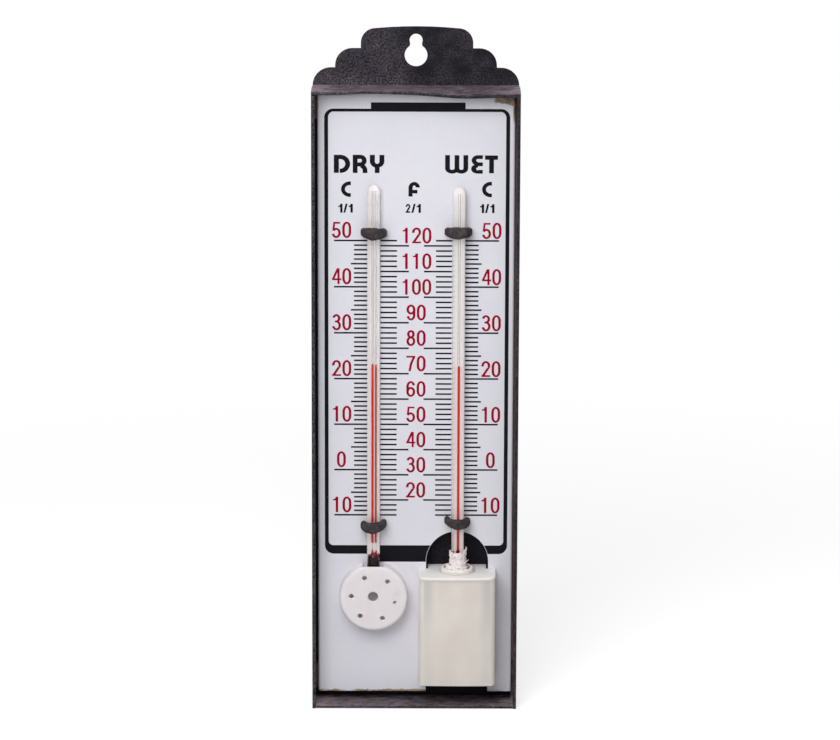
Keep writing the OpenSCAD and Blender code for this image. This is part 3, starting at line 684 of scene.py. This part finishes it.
def drawn_glass():
    material, tree, place = finish(
        "drawn_stem_glass", Transmission_Weight=1.0, IOR=1.5, Metallic=0.0, Specular_IOR_Level=0.25,
        Specular_Tint=(0.4, 0.4, 0.4, 1.0),
    )
    draw = noise(place, 0.7, 2.0, 0.5, (1, 1, 60))
    colour = between(draw, tint(255, 255, 255), tint(252, 251, 250))
    return surfaced(material, colour, rise(draw, 0.2, 0.8, 0.0, 0.03), draw, 0.006)


def fused_enamel():
    material, tree, place = finish("fused_white_enamel", Specular_IOR_Level=0.0, Roughness=0.6)
    streaks = noise(place, 0.9, 3.0, 0.6, (1, 1, 30))
    mottle, relief = grain(place, 0.5, 0.2)
    cream = between(streaks, tint(253, 249, 248), tint(242, 236, 236))
    colour = between(product(mottle, 0.1), cream, tint(210, 190, 186))
    return surfaced(material, colour, None, relief, 0.01)


def red_spirit():
    material, tree, place = finish("dyed_red_spirit", Specular_IOR_Level=0.0)
    z = axis(place, "Z")
    swirl = noise(place, 1.5, 2.0, 0.5, (1, 1, 6))
    thread = between(swirl, tint(208, 50, 30), tint(186, 36, 24))
    thread = between(rise(z, -215.0, -221.0), thread, tint(146, 12, 18))
    # The bulb's spirit is near black in its middle, its own deep colour, and redder towards its outline,
    # painted light showing through its thin edge.
    rim = put("LayerWeight", {"Blend": 0.35}, tree).outputs["Facing"]
    heart = between(swirl, tint(20, 3, 8), tint(34, 4, 12))
    bulb = between(rise(rim, 0.25, 0.9), heart, tint(150, 14, 36))
    colour = between(rise(z, -220.9, -222.3), thread, bulb)
    return surfaced(material, colour, rise(swirl, 0.2, 0.8, 0.3, 0.45))


def round_corners(bm, corners, radius, segments=6):
    """Rounds corners of a flat face."""
    bmesh.ops.bevel(
        bm, geom=corners, offset=radius, segments=segments, profile=0.5, affect="VERTICES", material=-1
    )


def rings(bm, stations, segments=32, caps=True):
    """A tube through round stations, each a centre and a radius, closed at both ends."""
    loops = [circle(bm, radius, Matrix.Translation(spot), segments) for spot, radius in stations]
    for first, second in zip(loops, loops[1:]):
        bmesh.ops.bridge_loops(bm, edges=first + second)
    if caps:
        bmesh.ops.holes_fill(bm, edges=loops[0] + loops[-1], sides=0)


GLASS = drawn_glass()
BACKING = fused_enamel()
SPIRIT = red_spirit()
# Each stem: its name, x, turn in degrees, how far its neck rises, the bead in its bore, and the tops of its
# glass and of its spirit.
stems = (
    ("dry", -17.475, 16, 5.2, 0.0, -59.6, -137.0),
    ("wet", 18.075, -32, 0.8, 0.36, -60.7, -137.9),
)
for which, stem_x, turn, neck_rise, bead, tip, column in stems:
    stand = Matrix.Translation((stem_x, stem_y, 0)) @ Matrix.Rotation(radians(turn), 4, "Z")
    dress(which + "_thermometer_glass", GLASS)

    bm = bmesh.new()
    low, high = stem_foot + 0.1, tip - 0.43
    corners = [(-strip_half, low), (strip_half, low), (strip_half, high), (-strip_half, high)]
    face = bm.faces.new([bm.verts.new((x, strip_front, z)) for x, z in corners])
    round_corners(bm, [vert for vert in face.verts if vert.co.z > low + 1], 2.3, 8)
    drawn_out(bm, bm.faces[:][0], (0, strip_rear - strip_front, 0), 1)
    bmesh.ops.transform(bm, matrix=stand, verts=bm.verts)
    piece(which + "_fused_enamel", bm, BACKING, "case", 32, [which + "_enamel_strip"])

    bm = bmesh.new()
    round_z, cone_z, neck_z = stem_foot - 13.35, stem_foot - 3.7, stem_foot + neck_rise
    stations = [
        ((0, 0, round_z - hollow_r * cos(a)), hollow_r * sin(a))
        for a in [radians(d) for d in (8, 20, 32, 45, 58, 70, 80, 90)]
    ]
    stations += [((0, 0, cone_z - 0.05), hollow_r), ((0, bore_back, cone_z), hollow_r - bore_back - 0.06)]
    neck = ((-2.7, 0.12), (-2.5, 0.06), (0, 0.06), (0.15, bore_r + 0.4 * bead), (0.45, bore_r + bead))
    neck += ((0.85, bore_r + 0.8 * bead), (1.5, bore_r))
    stations += [((0, bore_back, neck_z + up), radius) for up, radius in neck]
    meniscus = ((0.3, 1), (0.08, 0.8), (0, 0.35))
    stations += [((0, bore_back, column - down), bore_r * share) for down, share in meniscus]
    rings(bm, stations)
    bmesh.ops.transform(bm, matrix=stand, verts=bm.verts)
    piece(which + "_spirit_thread", bm, SPIRIT, "case", 60, [which + "_spirit"])

# Retainers: four short lengths of moulded grey-black rubber, bent over the stems with both ends pushed
# through slots in the plate. They have set with age, and each one stands up and sags a little differently.

strap_in, strap_out, strap_high, strap_r = 2.82, 5.54, 3.8, 1.35
leg_rear, plate_front, forward_rise = -2.6, -7.13, 0.2717


def strap_rubber():
    material, tree, place = finish("aged_strap_rubber", Specular_IOR_Level=0.15)
    mottle, relief = grain(place, 0.4, 0.3)
    bloom = noise(place, 3.5, 3.0, 0.6)
    rubber = between(mottle, tint(30, 27, 30), tint(76, 70, 73))
    colour = between(rise(bloom, 0.5, 0.8), rubber, tint(88, 81, 81))
    return surfaced(material, colour, rise(mottle, 0.0, 1.0, 0.6, 0.8), relief, 0.1)


def eased(value):
    """A smooth step from 0 to 1."""
    share = held(value)
    return share * share * (3 - 2 * share)


RUBBER = strap_rubber()
# Each strap: its node, x, the height of its legs, then how it lifts, sags, leans, swells in the middle, thins
# at its left and spreads, and its random seed.
straps = (
    ("upper_dry_retainer", -17.475, -82.1, 1.2, 1.0, -0.03, 0.42, 0.0, 1.0, 11),
    ("upper_wet_retainer", 17.95, -81.4, 0.91, 0.92, 0.0, 0.4, 0.0, 1.07, 12),
    ("lower_dry_retainer", -17.475, -209.2, 0.79, 1.85, 0.09, 0.27, 0.0, 1.0, 13),
    ("lower_wet_retainer", 18.075, -207.6, 0.7, 1.66, -0.05, 0.18, 0.35, 1.0, 14),
)
for name, strap_x, leg_z, lift, sag, lean, swell, pinch, spread, start in straps:
    bm = bmesh.new()
    half = strap_high / 2
    corners = [(strap_in, -half), (strap_out, -half), (strap_out, half), (strap_in, half)]
    face = bm.faces.new([bm.verts.new((x, leg_rear - stem_y, z)) for x, z in corners])
    round_corners(bm, face.verts[:], strap_r)
    face = drawn_out(bm, bm.faces[:][0], (0, (stem_y - leg_rear) / 6, 0), 6)
    made = bmesh.ops.spin(
        bm, geom=[face] + face.verts[:] + face.edges[:], cent=(0, 0, 0), axis=(0, 0, -1), dvec=(0, 0, 0),
        angle=pi, steps=28, use_merge=False, use_normal_flip=False, use_duplicate=False,
    )
    face = [part for part in made["geom_last"] if isinstance(part, bmesh.types.BMFace)][0]
    drawn_out(bm, face, (0, (leg_rear - stem_y) / 6, 0), 6)
    seed(start)
    phases = [uniform(0, 6.28) for _ in range(4)]
    for vert in bm.verts:
        x, y, z = vert.co
        ahead = held((2.78 - y) / 4.0)
        proud = max(plate_front - stem_y - y, 0)
        thick = 1 + swell * (1 - eased(abs(x) / 5.6)) * ahead + 0.04 * sin(1.1 * x + phases[0])
        thinner = held((-x - 1.5) / 4) * pinch * ahead
        vert.co.z = z * thick * (1 - thinner) + 0.6 * thinner
        vert.co.z += lift + forward_rise * proud - sag * eased((proud - 2.6) / 5.6) + lean * x
        vert.co.z += 0.05 * ahead * sin(1.7 * x + phases[2])
        vert.co.y -= 0.08 * held(-y / strap_out) * sin(0.9 * z + phases[3])
        vert.co.x *= 1 + (spread - 1) * ahead
    moved(bm, strap_x, stem_y, leg_z)
    piece(name + "_rubber", bm, RUBBER, "case", 70, [name])

# Slot collars: the plate's coating closed in round the straps' legs, so that no dark slot shows beside
# them, as none does in the photograph.

collar_w, collar_h, collar_y, collar_t = 3.3, 5.1, -6.75, 0.68

bm = bmesh.new()
for name, strap_x, leg_z, *_ in straps:
    for side in (-1, 1):
        leg_x = strap_x + side * (strap_in + strap_out) / 2
        block(bm, (leg_x, collar_y, leg_z + 0.2), (collar_w, collar_t, collar_h))
piece("strap_slot_collars", bm, COAT, "case")

# Bulb guard: a shallow cap moulded in white plastic that lets light through, with a flat and a notch
# for the stem, a hole near the middle and six small ones drilled by hand round it. Three pegs inside
# its rim push into the plate.

guard_x, guard_z, guard_r, guard_depth = -17.475, -239.25, 14.5, 7.16
guard_wall, guard_edge, guard_rim_y, guard_flat = 1.1, 1.2, -7.15, 13.75
peg_reach, peg_r, peg_end, notch_w = 12.45, 0.93, -2.3, 9.3
# The small holes: each one's angle from the right, distance from the middle and radius.
guard_vents = (
    (113.4, 9.62, 1.02), (50.7, 9.46, 1.02), (174.7, 9.43, 1.04),
    (-125.4, 9.8, 1.04), (-66.7, 9.75, 1.0), (-11.4, 9.25, 0.7),
)


def moulded_white():
    material, tree, place = finish(
        "moulded_white_plastic", (guard_x, -14.0, guard_z), Specular_IOR_Level=0.3,
        Transmission_Weight=0.28, IOR=1.3,
    )
    mottle, relief = grain(place, 1.3, 0.6)
    grime = rise(noise(place, 6.0, 3.0, 0.6), 0.5, 0.8)
    white = between(product(mottle, 0.2), tint(255, 249, 251), tint(250, 242, 244))
    # Painted highlight: the face is drawn whiter towards its rim.
    flat = put("VectorMath", {0: place, 1: (1, 0, 1)}, operation="MULTIPLY").outputs[0]
    reach = put("VectorMath", {0: flat}, operation="LENGTH").outputs["Value"]
    white = between(rise(reach, 11.6, 12.8), white, tint(255, 252, 254))
    colour = between(product(grime, 0.2), white, tint(212, 200, 192))
    return surfaced(material, colour, rise(mottle, 0.0, 1.0, 0.5, 0.65), relief, 0.03)


def turned(bm, profile, segments=96):
    """Turns a profile of (radius, height) about +Z; a radius of 0 lies on the axis."""
    chain = [bm.verts.new((radius, 0, height)) for radius, height in profile]
    edges = [bm.edges.new(pair) for pair in zip(chain, chain[1:])]
    bmesh.ops.spin(
        bm, geom=chain + edges, cent=(0, 0, 0), axis=(0, 0, 1), dvec=(0, 0, 0), angle=2 * pi,
        steps=segments, use_merge=True, use_normal_flip=False, use_duplicate=False,
    )
    bmesh.ops.remove_doubles(bm, verts=bm.verts, dist=0.0005)


def around(radius, angle, centre=(0, 0)):
    """A point on a circle, at an angle in degrees."""
    return centre[0] + radius * cos(radians(angle)), centre[1] + radius * sin(radians(angle))


def arc(centre, radius, start, end, count=8):
    """Points on an arc of a profile, from start to end degrees."""
    return [around(radius, start + (end - start) * i / count, centre) for i in range(count + 1)]


bm = bmesh.new()
inner_r = guard_r - guard_wall
deep = guard_depth - guard_wall
turned(
    bm,
    [(0, deep), (inner_r - 0.7, deep)] + arc((inner_r - 0.7, deep - 0.7), 0.7, 90, 0, 4)
    + [(inner_r, 0.15), (inner_r + 0.15, 0), (guard_r - 0.2, 0), (guard_r, 0.2)]
    + arc((guard_r - guard_edge, guard_depth - guard_edge), guard_edge, 0, 84)
    + [(guard_r - guard_edge - 0.8, guard_depth - 0.02), (6.0, guard_depth), (0, guard_depth)],
)
cutters = bmesh.new()
holes = [(-0.16, 0.65, 2.15)]
for angle, reach, small in guard_vents:
    holes.append((*around(reach, angle), small))
for x, y, r in holes:
    steps = ((deep - 2 - guard_depth, 0), (-0.3, 0), (-0.12, 0.05), (0.2, 0.45))
    rings(cutters, [((x, y, guard_depth + up), r + wider) for up, wider in steps], 40)
block(cutters, (0, 13, 1.4), (notch_w, 14, notch_w))
bm = carved(bm, cutters)
cutters = bmesh.new()
block(cutters, (0, guard_flat + 5, 3), (30, 10, 14))
bm = carved(bm, cutters)
for angle in (30, 150, 270):
    x, y = around(peg_reach, angle)
    rings(bm, [((x, y, peg_end), 0.7), ((x, y, peg_end + 0.25), peg_r), ((x, y, deep + 0.3), peg_r)], 24)
bmesh.ops.rotate(bm, verts=bm.verts, cent=(0, 0, 0), matrix=Matrix.Rotation(pi / 2, 3, "X"))
moved(bm, guard_x, guard_rim_y, guard_z)
piece("drilled_bulb_guard", bm, moulded_white(), "guard", 28, ["bulb_guard"])

# Reservoir: a bottle moulded in milky plastic. Its front block bows forward between two rounded upright
# edges; a narrower waist goes back through the plate's arched cut-out, where two rails catch it.

tank_x, tank_top, tank_floor = 18.075, -228.0, -276.4
tank_half, tank_rear, tank_side, tank_bow = 16.3, -7.2, -20.6, 1.4
tank_wall, tank_edge, tank_foot_r, lid_thick = 1.2, 2.5, 0.4, 1.3
waist_half, waist_rear, bow_depth = 12.4, -1.0, 3
rail_w, rail_t, rail_l = 2.9, 1.38, 44.6


def milky_plastic():
    material, tree, place = finish(
        "milky_moulded_plastic", (tank_x, -20.0, -252.0), Specular_IOR_Level=0.3, Subsurface_Weight=0.5,
        Subsurface_Scale=0.004, Subsurface_Radius=(1.0, 0.9, 0.78),
    )
    clouds = noise(place, 15.0, 2.0, 0.5, (1, 1, 1.8))
    mottle, relief = grain(place, 1.1, 0.6)
    milk = between(rise(clouds, 0.3, 0.7), tint(240, 231, 222), tint(231, 221, 212))
    sideways = sums("ABSOLUTE", axis(place, "X"))
    z = axis(place, "Z")
    # Painted shade: bluish grey patches at both sides of the front, strongest just below the lid, where the
    # hollow inside shows darker through the wall.
    flank = product(rise(sideways, 8.5, 12.6), rise(sideways, 14.6, 13.6))
    upper = product(rise(z, -2.0, 18.0, 0.2, 0.7), rise(z, 22.7, 22.2))
    milk = between(product(flank, upper), milk, tint(200, 199, 200))
    # Painted light: faces that look up, the lid's top most of all, are drawn lighter.
    up = rise(axis(put("NewGeometry", tree=tree).outputs["Normal"], "Z"), 0.4, 0.9)
    milk = between(up, milk, tint(255, 250, 244))
    colour = between(product(mottle, 0.08), milk, tint(214, 198, 186))
    return surfaced(material, colour, rise(clouds, 0.2, 0.8, 0.35, 0.5), relief, 0.03)


MILKY = milky_plastic()


def tank_outline(bm, z, grow=0.0, bulge=tank_bow):
    """The bottle's section from above: bowed front, rounded front edges, waist behind."""
    half, waist, side = tank_half + grow, waist_half + grow, tank_side - grow
    rear, back = tank_rear + grow, waist_rear + grow
    corners = [(-half, side), (half, side), (half, rear), (waist, rear)]
    corners += [(waist, back), (-waist, back), (-waist, rear), (-half, rear)]
    face = bm.faces.new([bm.verts.new((x, y, z)) for x, y in corners])
    front = [vert for vert in face.verts if vert.co.y < side + 0.1]
    round_corners(bm, front, tank_edge + grow, 8)
    front = [edge for edge in bm.edges if all(v.co.y < side + 0.01 for v in edge.verts)]
    bmesh.ops.subdivide_edges(bm, edges=front, cuts=24)
    for vert in bm.verts:
        if vert.co.y < side + bow_depth:
            share = (side + bow_depth - vert.co.y) / bow_depth
            vert.co.y -= share * bulge * max(1 - (vert.co.x / (half - 1.0)) ** 2, 0)
    return bm.faces[:][0]


def softened(bm, z, radius, segments):
    """Rounds the edges round the front block at height z."""
    rim = [
        edge for edge in bm.edges
        if all(abs(v.co.z - z) < 0.01 and v.co.y < tank_rear - 0.01 for v in edge.verts)
    ]
    bmesh.ops.bevel(
        bm, geom=rim, offset=radius, segments=segments, profile=0.5, affect="EDGES", material=-1,
        clamp_overlap=True,
    )


bm = bmesh.new()
body_top = tank_top - lid_thick - 0.02
face = tank_outline(bm, body_top)
drawn_out(bm, face, (0, 0, (tank_floor - body_top) / 12), 12)
for vert in bm.verts:
    if vert.co.y < tank_side:
        lower = held((body_top - vert.co.z) / (body_top - tank_floor))
        vert.co.y += (tank_side - vert.co.y) * 0.75 * lower ** 3
softened(bm, tank_floor, tank_foot_r, 5)
hollow = bmesh.new()
face = tank_outline(hollow, tank_floor + tank_wall, -tank_wall, 0.5)
drawn_out(hollow, face, (0, 0, tank_top - tank_floor), 1)
bm = carved(bm, hollow)
for side in (-1, 1):
    block(bm, (side * (waist_half + 1.4), -5.7, tank_floor + 22.4), (rail_w, rail_t, rail_l))
moved(bm, tank_x, 0, 0)
piece("milky_reservoir_bottle", bm, MILKY, "reservoir", 30, ["reservoir_body"])

# Reservoir lid: a flat moulding welded on the bottle, with a raised neck ring that the wick hangs through.

neck_out, neck_in, neck_high, bead_r, lid_edge = 6.95, 5.35, 1.75, 0.79, 0.9

bm = bmesh.new()
face = tank_outline(bm, tank_top - lid_thick)
drawn_out(bm, face, (0, 0, lid_thick), 1)
softened(bm, tank_top, lid_edge, 6)
cutters = bmesh.new()
rings(cutters, [((0, stem_y, tank_top - 4), neck_in), ((0, stem_y, tank_top + 4), neck_in)], 72)
bm = carved(bm, cutters)
neck = bmesh.new()
foot_out = neck_out + 0.6
collar = [(neck_in, -lid_thick), (neck_in, neck_high - 0.7)]
collar += arc(((neck_in + neck_out) / 2, neck_high - bead_r), bead_r, 175, 5, 10)
collar += [(neck_out, neck_high - 0.9), (neck_out, 0.3), (neck_out + 0.35, 0.05), (foot_out, 0.0)]
collar += [(foot_out, -0.3), (foot_out, -lid_thick), (neck_in, -lid_thick)]
turned(neck, collar, 72)
moved(neck, 0, stem_y, tank_top)
added(bm, neck)
moved(bm, tank_x, 0, 0)
piece("reservoir_lid_with_neck", bm, MILKY, "reservoir", 30, ["reservoir_lid"])

# Wick: a sleeve of loosely braided cotton pulled over the wet bulb, its upper end frayed, bunched in the
# reservoir's neck, gathered under the bulb and tied with thread. Its tail hangs in the reservoir and
# draws up the water.

wick_x = 18.075
sleeve_r, sleeve_top, sleeve_foot = 3.45, -219.6, -237.7
tail_r, tail_l = 1.5, 31.0
gather_z, flare_z, neck_limit = -234.3, -221.4, 5.22
tie_r, tie_z, tie_turns = 1.86, -237.36, 3


def cotton(name, light, shade):
    material, tree, place = finish(
        name, (wick_x, stem_y, -225.0), Specular_IOR_Level=0.1, Roughness=0.95, Sheen_Weight=0.3,
        Sheen_Roughness=0.5,
    )
    fibres = noise(place, 0.6, 4.0, 0.75, (1, 1, 1.6))
    damp = rise(noise(place, 2.0, 2.0), 0.55, 0.8, 0.0, 0.6)
    thread = between(rise(fibres, 0.34, 0.62), shade, light)
    return surfaced(material, between(damp, thread, tint(226, 210, 206)), None, fibres, 0.15)


COTTON = cotton("braided_cotton", tint(255, 252, 251), tint(220, 205, 206))


def strand(bm, path, radius, segments=6):
    """A thin thread along a path, tapered to its loose end."""
    previous = None
    for index, point in enumerate(path):
        ahead = Vector(path[min(index + 1, len(path) - 1)]) - Vector(path[max(index - 1, 0)])
        turn = ahead.to_track_quat("Z", "Y").to_matrix().to_4x4()
        size = radius * (1 - 0.55 * index / (len(path) - 1))
        loop = circle(bm, size, Matrix.Translation(point) @ turn, segments)
        if previous:
            bmesh.ops.bridge_loops(bm, edges=previous + loop)
        else:
            bmesh.ops.holes_fill(bm, edges=loop, sides=0)
        previous = loop
    bmesh.ops.holes_fill(bm, edges=previous, sides=0)


def round_wick(r, a, z):
    """A place at radius r and angle a about the wick's axis."""
    return wick_x + r * cos(a), stem_y + r * sin(a), z


def crossed(a, z):
    """Ridges that cross, as a braid's do: 0 where none passes and 2 where two cross."""
    return abs(sin(a + z)) + abs(sin(a - z))


# The sleeve narrows to the tie at its foot and flares a little at its top.
seed(5)
bm = bmesh.new()
stations = []
for row in range(47):
    z = sleeve_foot + (sleeve_top - sleeve_foot) * row / 46
    if z < gather_z:
        r = tail_r + 0.1 + (sleeve_r - tail_r) * (1 - cos(pi * min((z - sleeve_foot) / 3.4, 1))) / 2
    else:
        r = sleeve_r + 0.12 * sin(1.9 * z)
    stations.append(((0, 0, z), r + 0.12 * max(z - flare_z, 0)))
rings(bm, stations, 60, caps=False)
for vert in bm.verts:
    a = atan2(vert.co.y, vert.co.x)
    z = vert.co.z
    braid = 0.13 * crossed(7 * a, 1.35 * z)
    lump = 0.12 * sin(3 * a + 0.8 * z) + 0.08 * sin(5 * a - 1.7 * z + 1)
    grown = 1 + (braid - 0.1 + lump) / hypot(vert.co.x, vert.co.y)
    vert.co.x *= grown
    vert.co.y *= grown
    if z > sleeve_top - 0.2:
        vert.co.z += 0.35 * sin(4 * a + 1) + 0.3 * sin(9 * a)
bmesh.ops.solidify(bm, geom=bm.faces[:], thickness=0.45)
for vert in bm.verts:
    vert.co.x *= 0.88 if vert.co.x < 0 else 1
moved(bm, wick_x, stem_y, 0)
piece("braided_wick_sleeve", bm, COTTON, "case", 80, ["wick_sleeve"])

# Loose strands: a dozen stand up at the right of the mouth, more ring it, and three stick out lower down.
bm = bmesh.new()
for count in range(76):
    a = uniform(0, 2 * pi)
    low = sleeve_top - uniform(0.7, 5.6)
    lean, length, curl = uniform(0.0, 0.35), uniform(1.3, 2.6), uniform(-1.5, 1.5)
    if count < 12:
        a, low = radians(uniform(-50, -2)), sleeve_top - uniform(0.7, 1.3)
        lean, length, curl = uniform(0.1, 0.5), uniform(1.5, 2.8), uniform(-1.0, 1.0)
    elif count < 26:
        low = sleeve_top - 0.8
        length = uniform(0.8, 1.3)
    path = []
    for i in range(8):
        t = i / 7
        r = 3.3 + 0.45 * sin(2.4 * t) + lean * length * 0.4 * t * t
        z = low + length * (t - 0.35 * lean * t * t)
        path.append(round_wick(r, a + curl * 0.35 * t * (1 + t), z))
    strand(bm, path, uniform(0.24, 0.46))
for a, low, reach in ((-0.75, -225.4, 2.1), (-1.05, -224.6, 1.0), (-2.2, -224.2, 0.6)):
    stages = [i / 8 for i in range(9)]
    strand(bm, [round_wick(3.5 + reach * t ** 1.4, a + 0.2 * t, low + 3.0 * t) for t in stages], 0.26)
for vert in bm.verts:
    vert.co.x = max(vert.co.x, wick_x + 0.86 * (vert.co.x - wick_x))
piece("frayed_wick_strands", bm, COTTON, "case", 80)

# Folds of the sleeve bunched in the neck, none of them wider than the neck lets through.
bm = bmesh.new()
for loop, (r, z) in enumerate(((3.8, -226.0), (4.2, -226.5), (4.4, -227.3), (4.0, -226.8), (3.6, -225.6))):
    path = []
    for i in range(73):
        a = radians(-190 + 185 * i / 72 + 8 * loop)
        wave = 0.16 * sin(5 * a + 2.1 * loop) + 0.1 * sin(11 * a + loop)
        lift = 0.25 * sin(3 * a + 1.7 * loop)
        x, y, z_here = round_wick(r + wave, a, z + lift)
        path.append((x - 0.2, y - 0.3, z_here))
    strand(bm, path, 0.72, 10)
for vert in bm.verts:
    reach = hypot(vert.co.x - wick_x, vert.co.y - stem_y)
    kept = min(reach, neck_limit) / reach
    vert.co.x = wick_x + (vert.co.x - wick_x) * kept
    vert.co.y = stem_y + (vert.co.y - stem_y) * kept
piece("bunched_wick_collar", bm, COTTON, "case", 80)

# The tail hangs from the tie to just above the reservoir's floor.
bm = bmesh.new()
stations = []
for i in range(63):
    z = sleeve_foot + 0.4 - (tail_l + 0.2) * i / 62
    stations.append(((wick_x, stem_y, z), tail_r * (1 - 0.12 * i / 62)))
rings(bm, stations, 36)
for vert in bm.verts:
    x, y = vert.co.x - wick_x, vert.co.y - stem_y
    reach = hypot(x, y)
    if reach > 0.2:
        a, z = atan2(y, x), vert.co.z
        ridge = 0.14 * abs(sin(1.5 * a + 1.3 * z)) + 0.1 * abs(sin(1.5 * a - 1.3 * z)) - 0.16
        vert.co.x += x / reach * ridge
        vert.co.y += y / reach * ridge
tail = piece("braided_wick_tail", bm, COTTON, "case", 80, ["wick_tail"])

# The tie: three close turns of thread round the gathered foot of the sleeve.
bm = bmesh.new()
stages = [i / 96 for i in range(97)]
strand(bm, [round_wick(tie_r, 2 * pi * tie_turns * t, tie_z + 1.5 * (t - 0.5)) for t in stages], 0.3, 8)
TIE = cotton("tie_thread", tint(226, 220, 216), tint(186, 178, 172))
piece("wick_tie_thread", bm, TIE, "case", 80, ["wick_tie"])

# Studio: a plain pale floor that fades to white away from the object, one broad soft lamp above the
# front, a wide one overhead, an even pale sky, and the camera at the photograph's viewpoint, a little
# above the object and far off.


def seen_rays(tree):
    """1 for the rays of the camera, of reflections and of clear glass."""
    rays = put("LightPath", tree=tree).outputs
    mirrored = sums("MAXIMUM", rays["Is Glossy Ray"], rays["Is Transmission Ray"])
    return sums("MAXIMUM", rays["Is Camera Ray"], mirrored)


def pale_floor():
    material = bpy.data.materials.new("pale_floor")
    material.use_nodes = True
    tree = material.node_tree
    tree.nodes.clear()
    seen = seen_rays(tree)
    here = put("TexCoord", tree=tree).outputs["Object"]
    reach = put("VectorMath", {0: here}, operation="LENGTH").outputs["Value"]
    away = product(rise(reach, 0.32, 0.6), seen)
    lift = put("Emission", {"Color": (1, 1, 1, 1), "Strength": product(seen, 0.62)})
    matt = put("BsdfDiffuse", {"Color": (0.62, 0.62, 0.62, 1)}, tree)
    near = put("AddShader", {0: matt.outputs[0], 1: lift.outputs[0]})
    white = put("Emission", {"Color": (1, 1, 1, 1), "Strength": 1.0}, tree)
    both = put("MixShader", {0: away, 1: near.outputs[0], 2: white.outputs[0]})
    put("OutputMaterial", {"Surface": both.outputs[0]})
    return material


bm = bmesh.new()
ground = Matrix.Translation((0, 0, cad_box[0][2] - 0.0002))
bmesh.ops.create_grid(bm, x_segments=1, y_segments=1, size=9.0, matrix=ground)
mesh = bpy.data.meshes.new("floor")
bm.to_mesh(mesh)
bm.free()
mesh.materials.append(pale_floor())
placed("floor", mesh)

sky = bpy.data.worlds.new("studio_sky")
sky.use_nodes = True
bpy.context.scene.world = sky
level = put("Mix", {0: seen_rays(sky.node_tree), 2: 0.28, 3: 1.0})
backdrop = sky.node_tree.nodes["Background"]
backdrop.inputs["Color"].default_value = (1.0, 1.0, 1.0, 1.0)
sky.node_tree.links.new(level.outputs[0], backdrop.inputs["Strength"])


def lamp(name, size, power, spot, target):
    light = bpy.data.lights.new(name, "AREA")
    light.shape = "SQUARE"
    light.size = size
    light.energy = power
    holder = placed(name, light)
    holder.location = spot
    holder.rotation_euler = (Vector(target) - Vector(spot)).to_track_quat("-Z", "Y").to_euler()


lamp("broad_soft_lamp", 0.5, 4.5, (-0.2, -0.64, 0.34), (0, 0, -0.1))
lamp("overhead_lamp", 0.8, 3.0, (0.1, -0.35, 0.8), (0, 0, -0.05))

camera = bpy.data.cameras.new("camera")
camera.lens = 223.5
camera.sensor_width = 36.0
camera.sensor_fit = "HORIZONTAL"
camera.clip_start = 0.1
camera.clip_end = 30.0
viewpoint = placed("camera", camera)
ahead = Vector((0, 0.9650, -0.2622)).normalized()
roll_angle = radians(0.177)
level_right = Vector((1, 0, 0))
level_up = level_right.cross(ahead).normalized()
right = level_right * cos(roll_angle) + level_up * sin(roll_angle)
up = right.cross(ahead).normalized()
look = Matrix((right, up, -ahead)).transposed()
viewpoint.rotation_euler = look.to_euler()
viewpoint.location = (0.00204, -2.1301, 0.4364)
bpy.context.scene.camera = viewpoint
bpy.context.scene.view_settings.view_transform = "Standard"
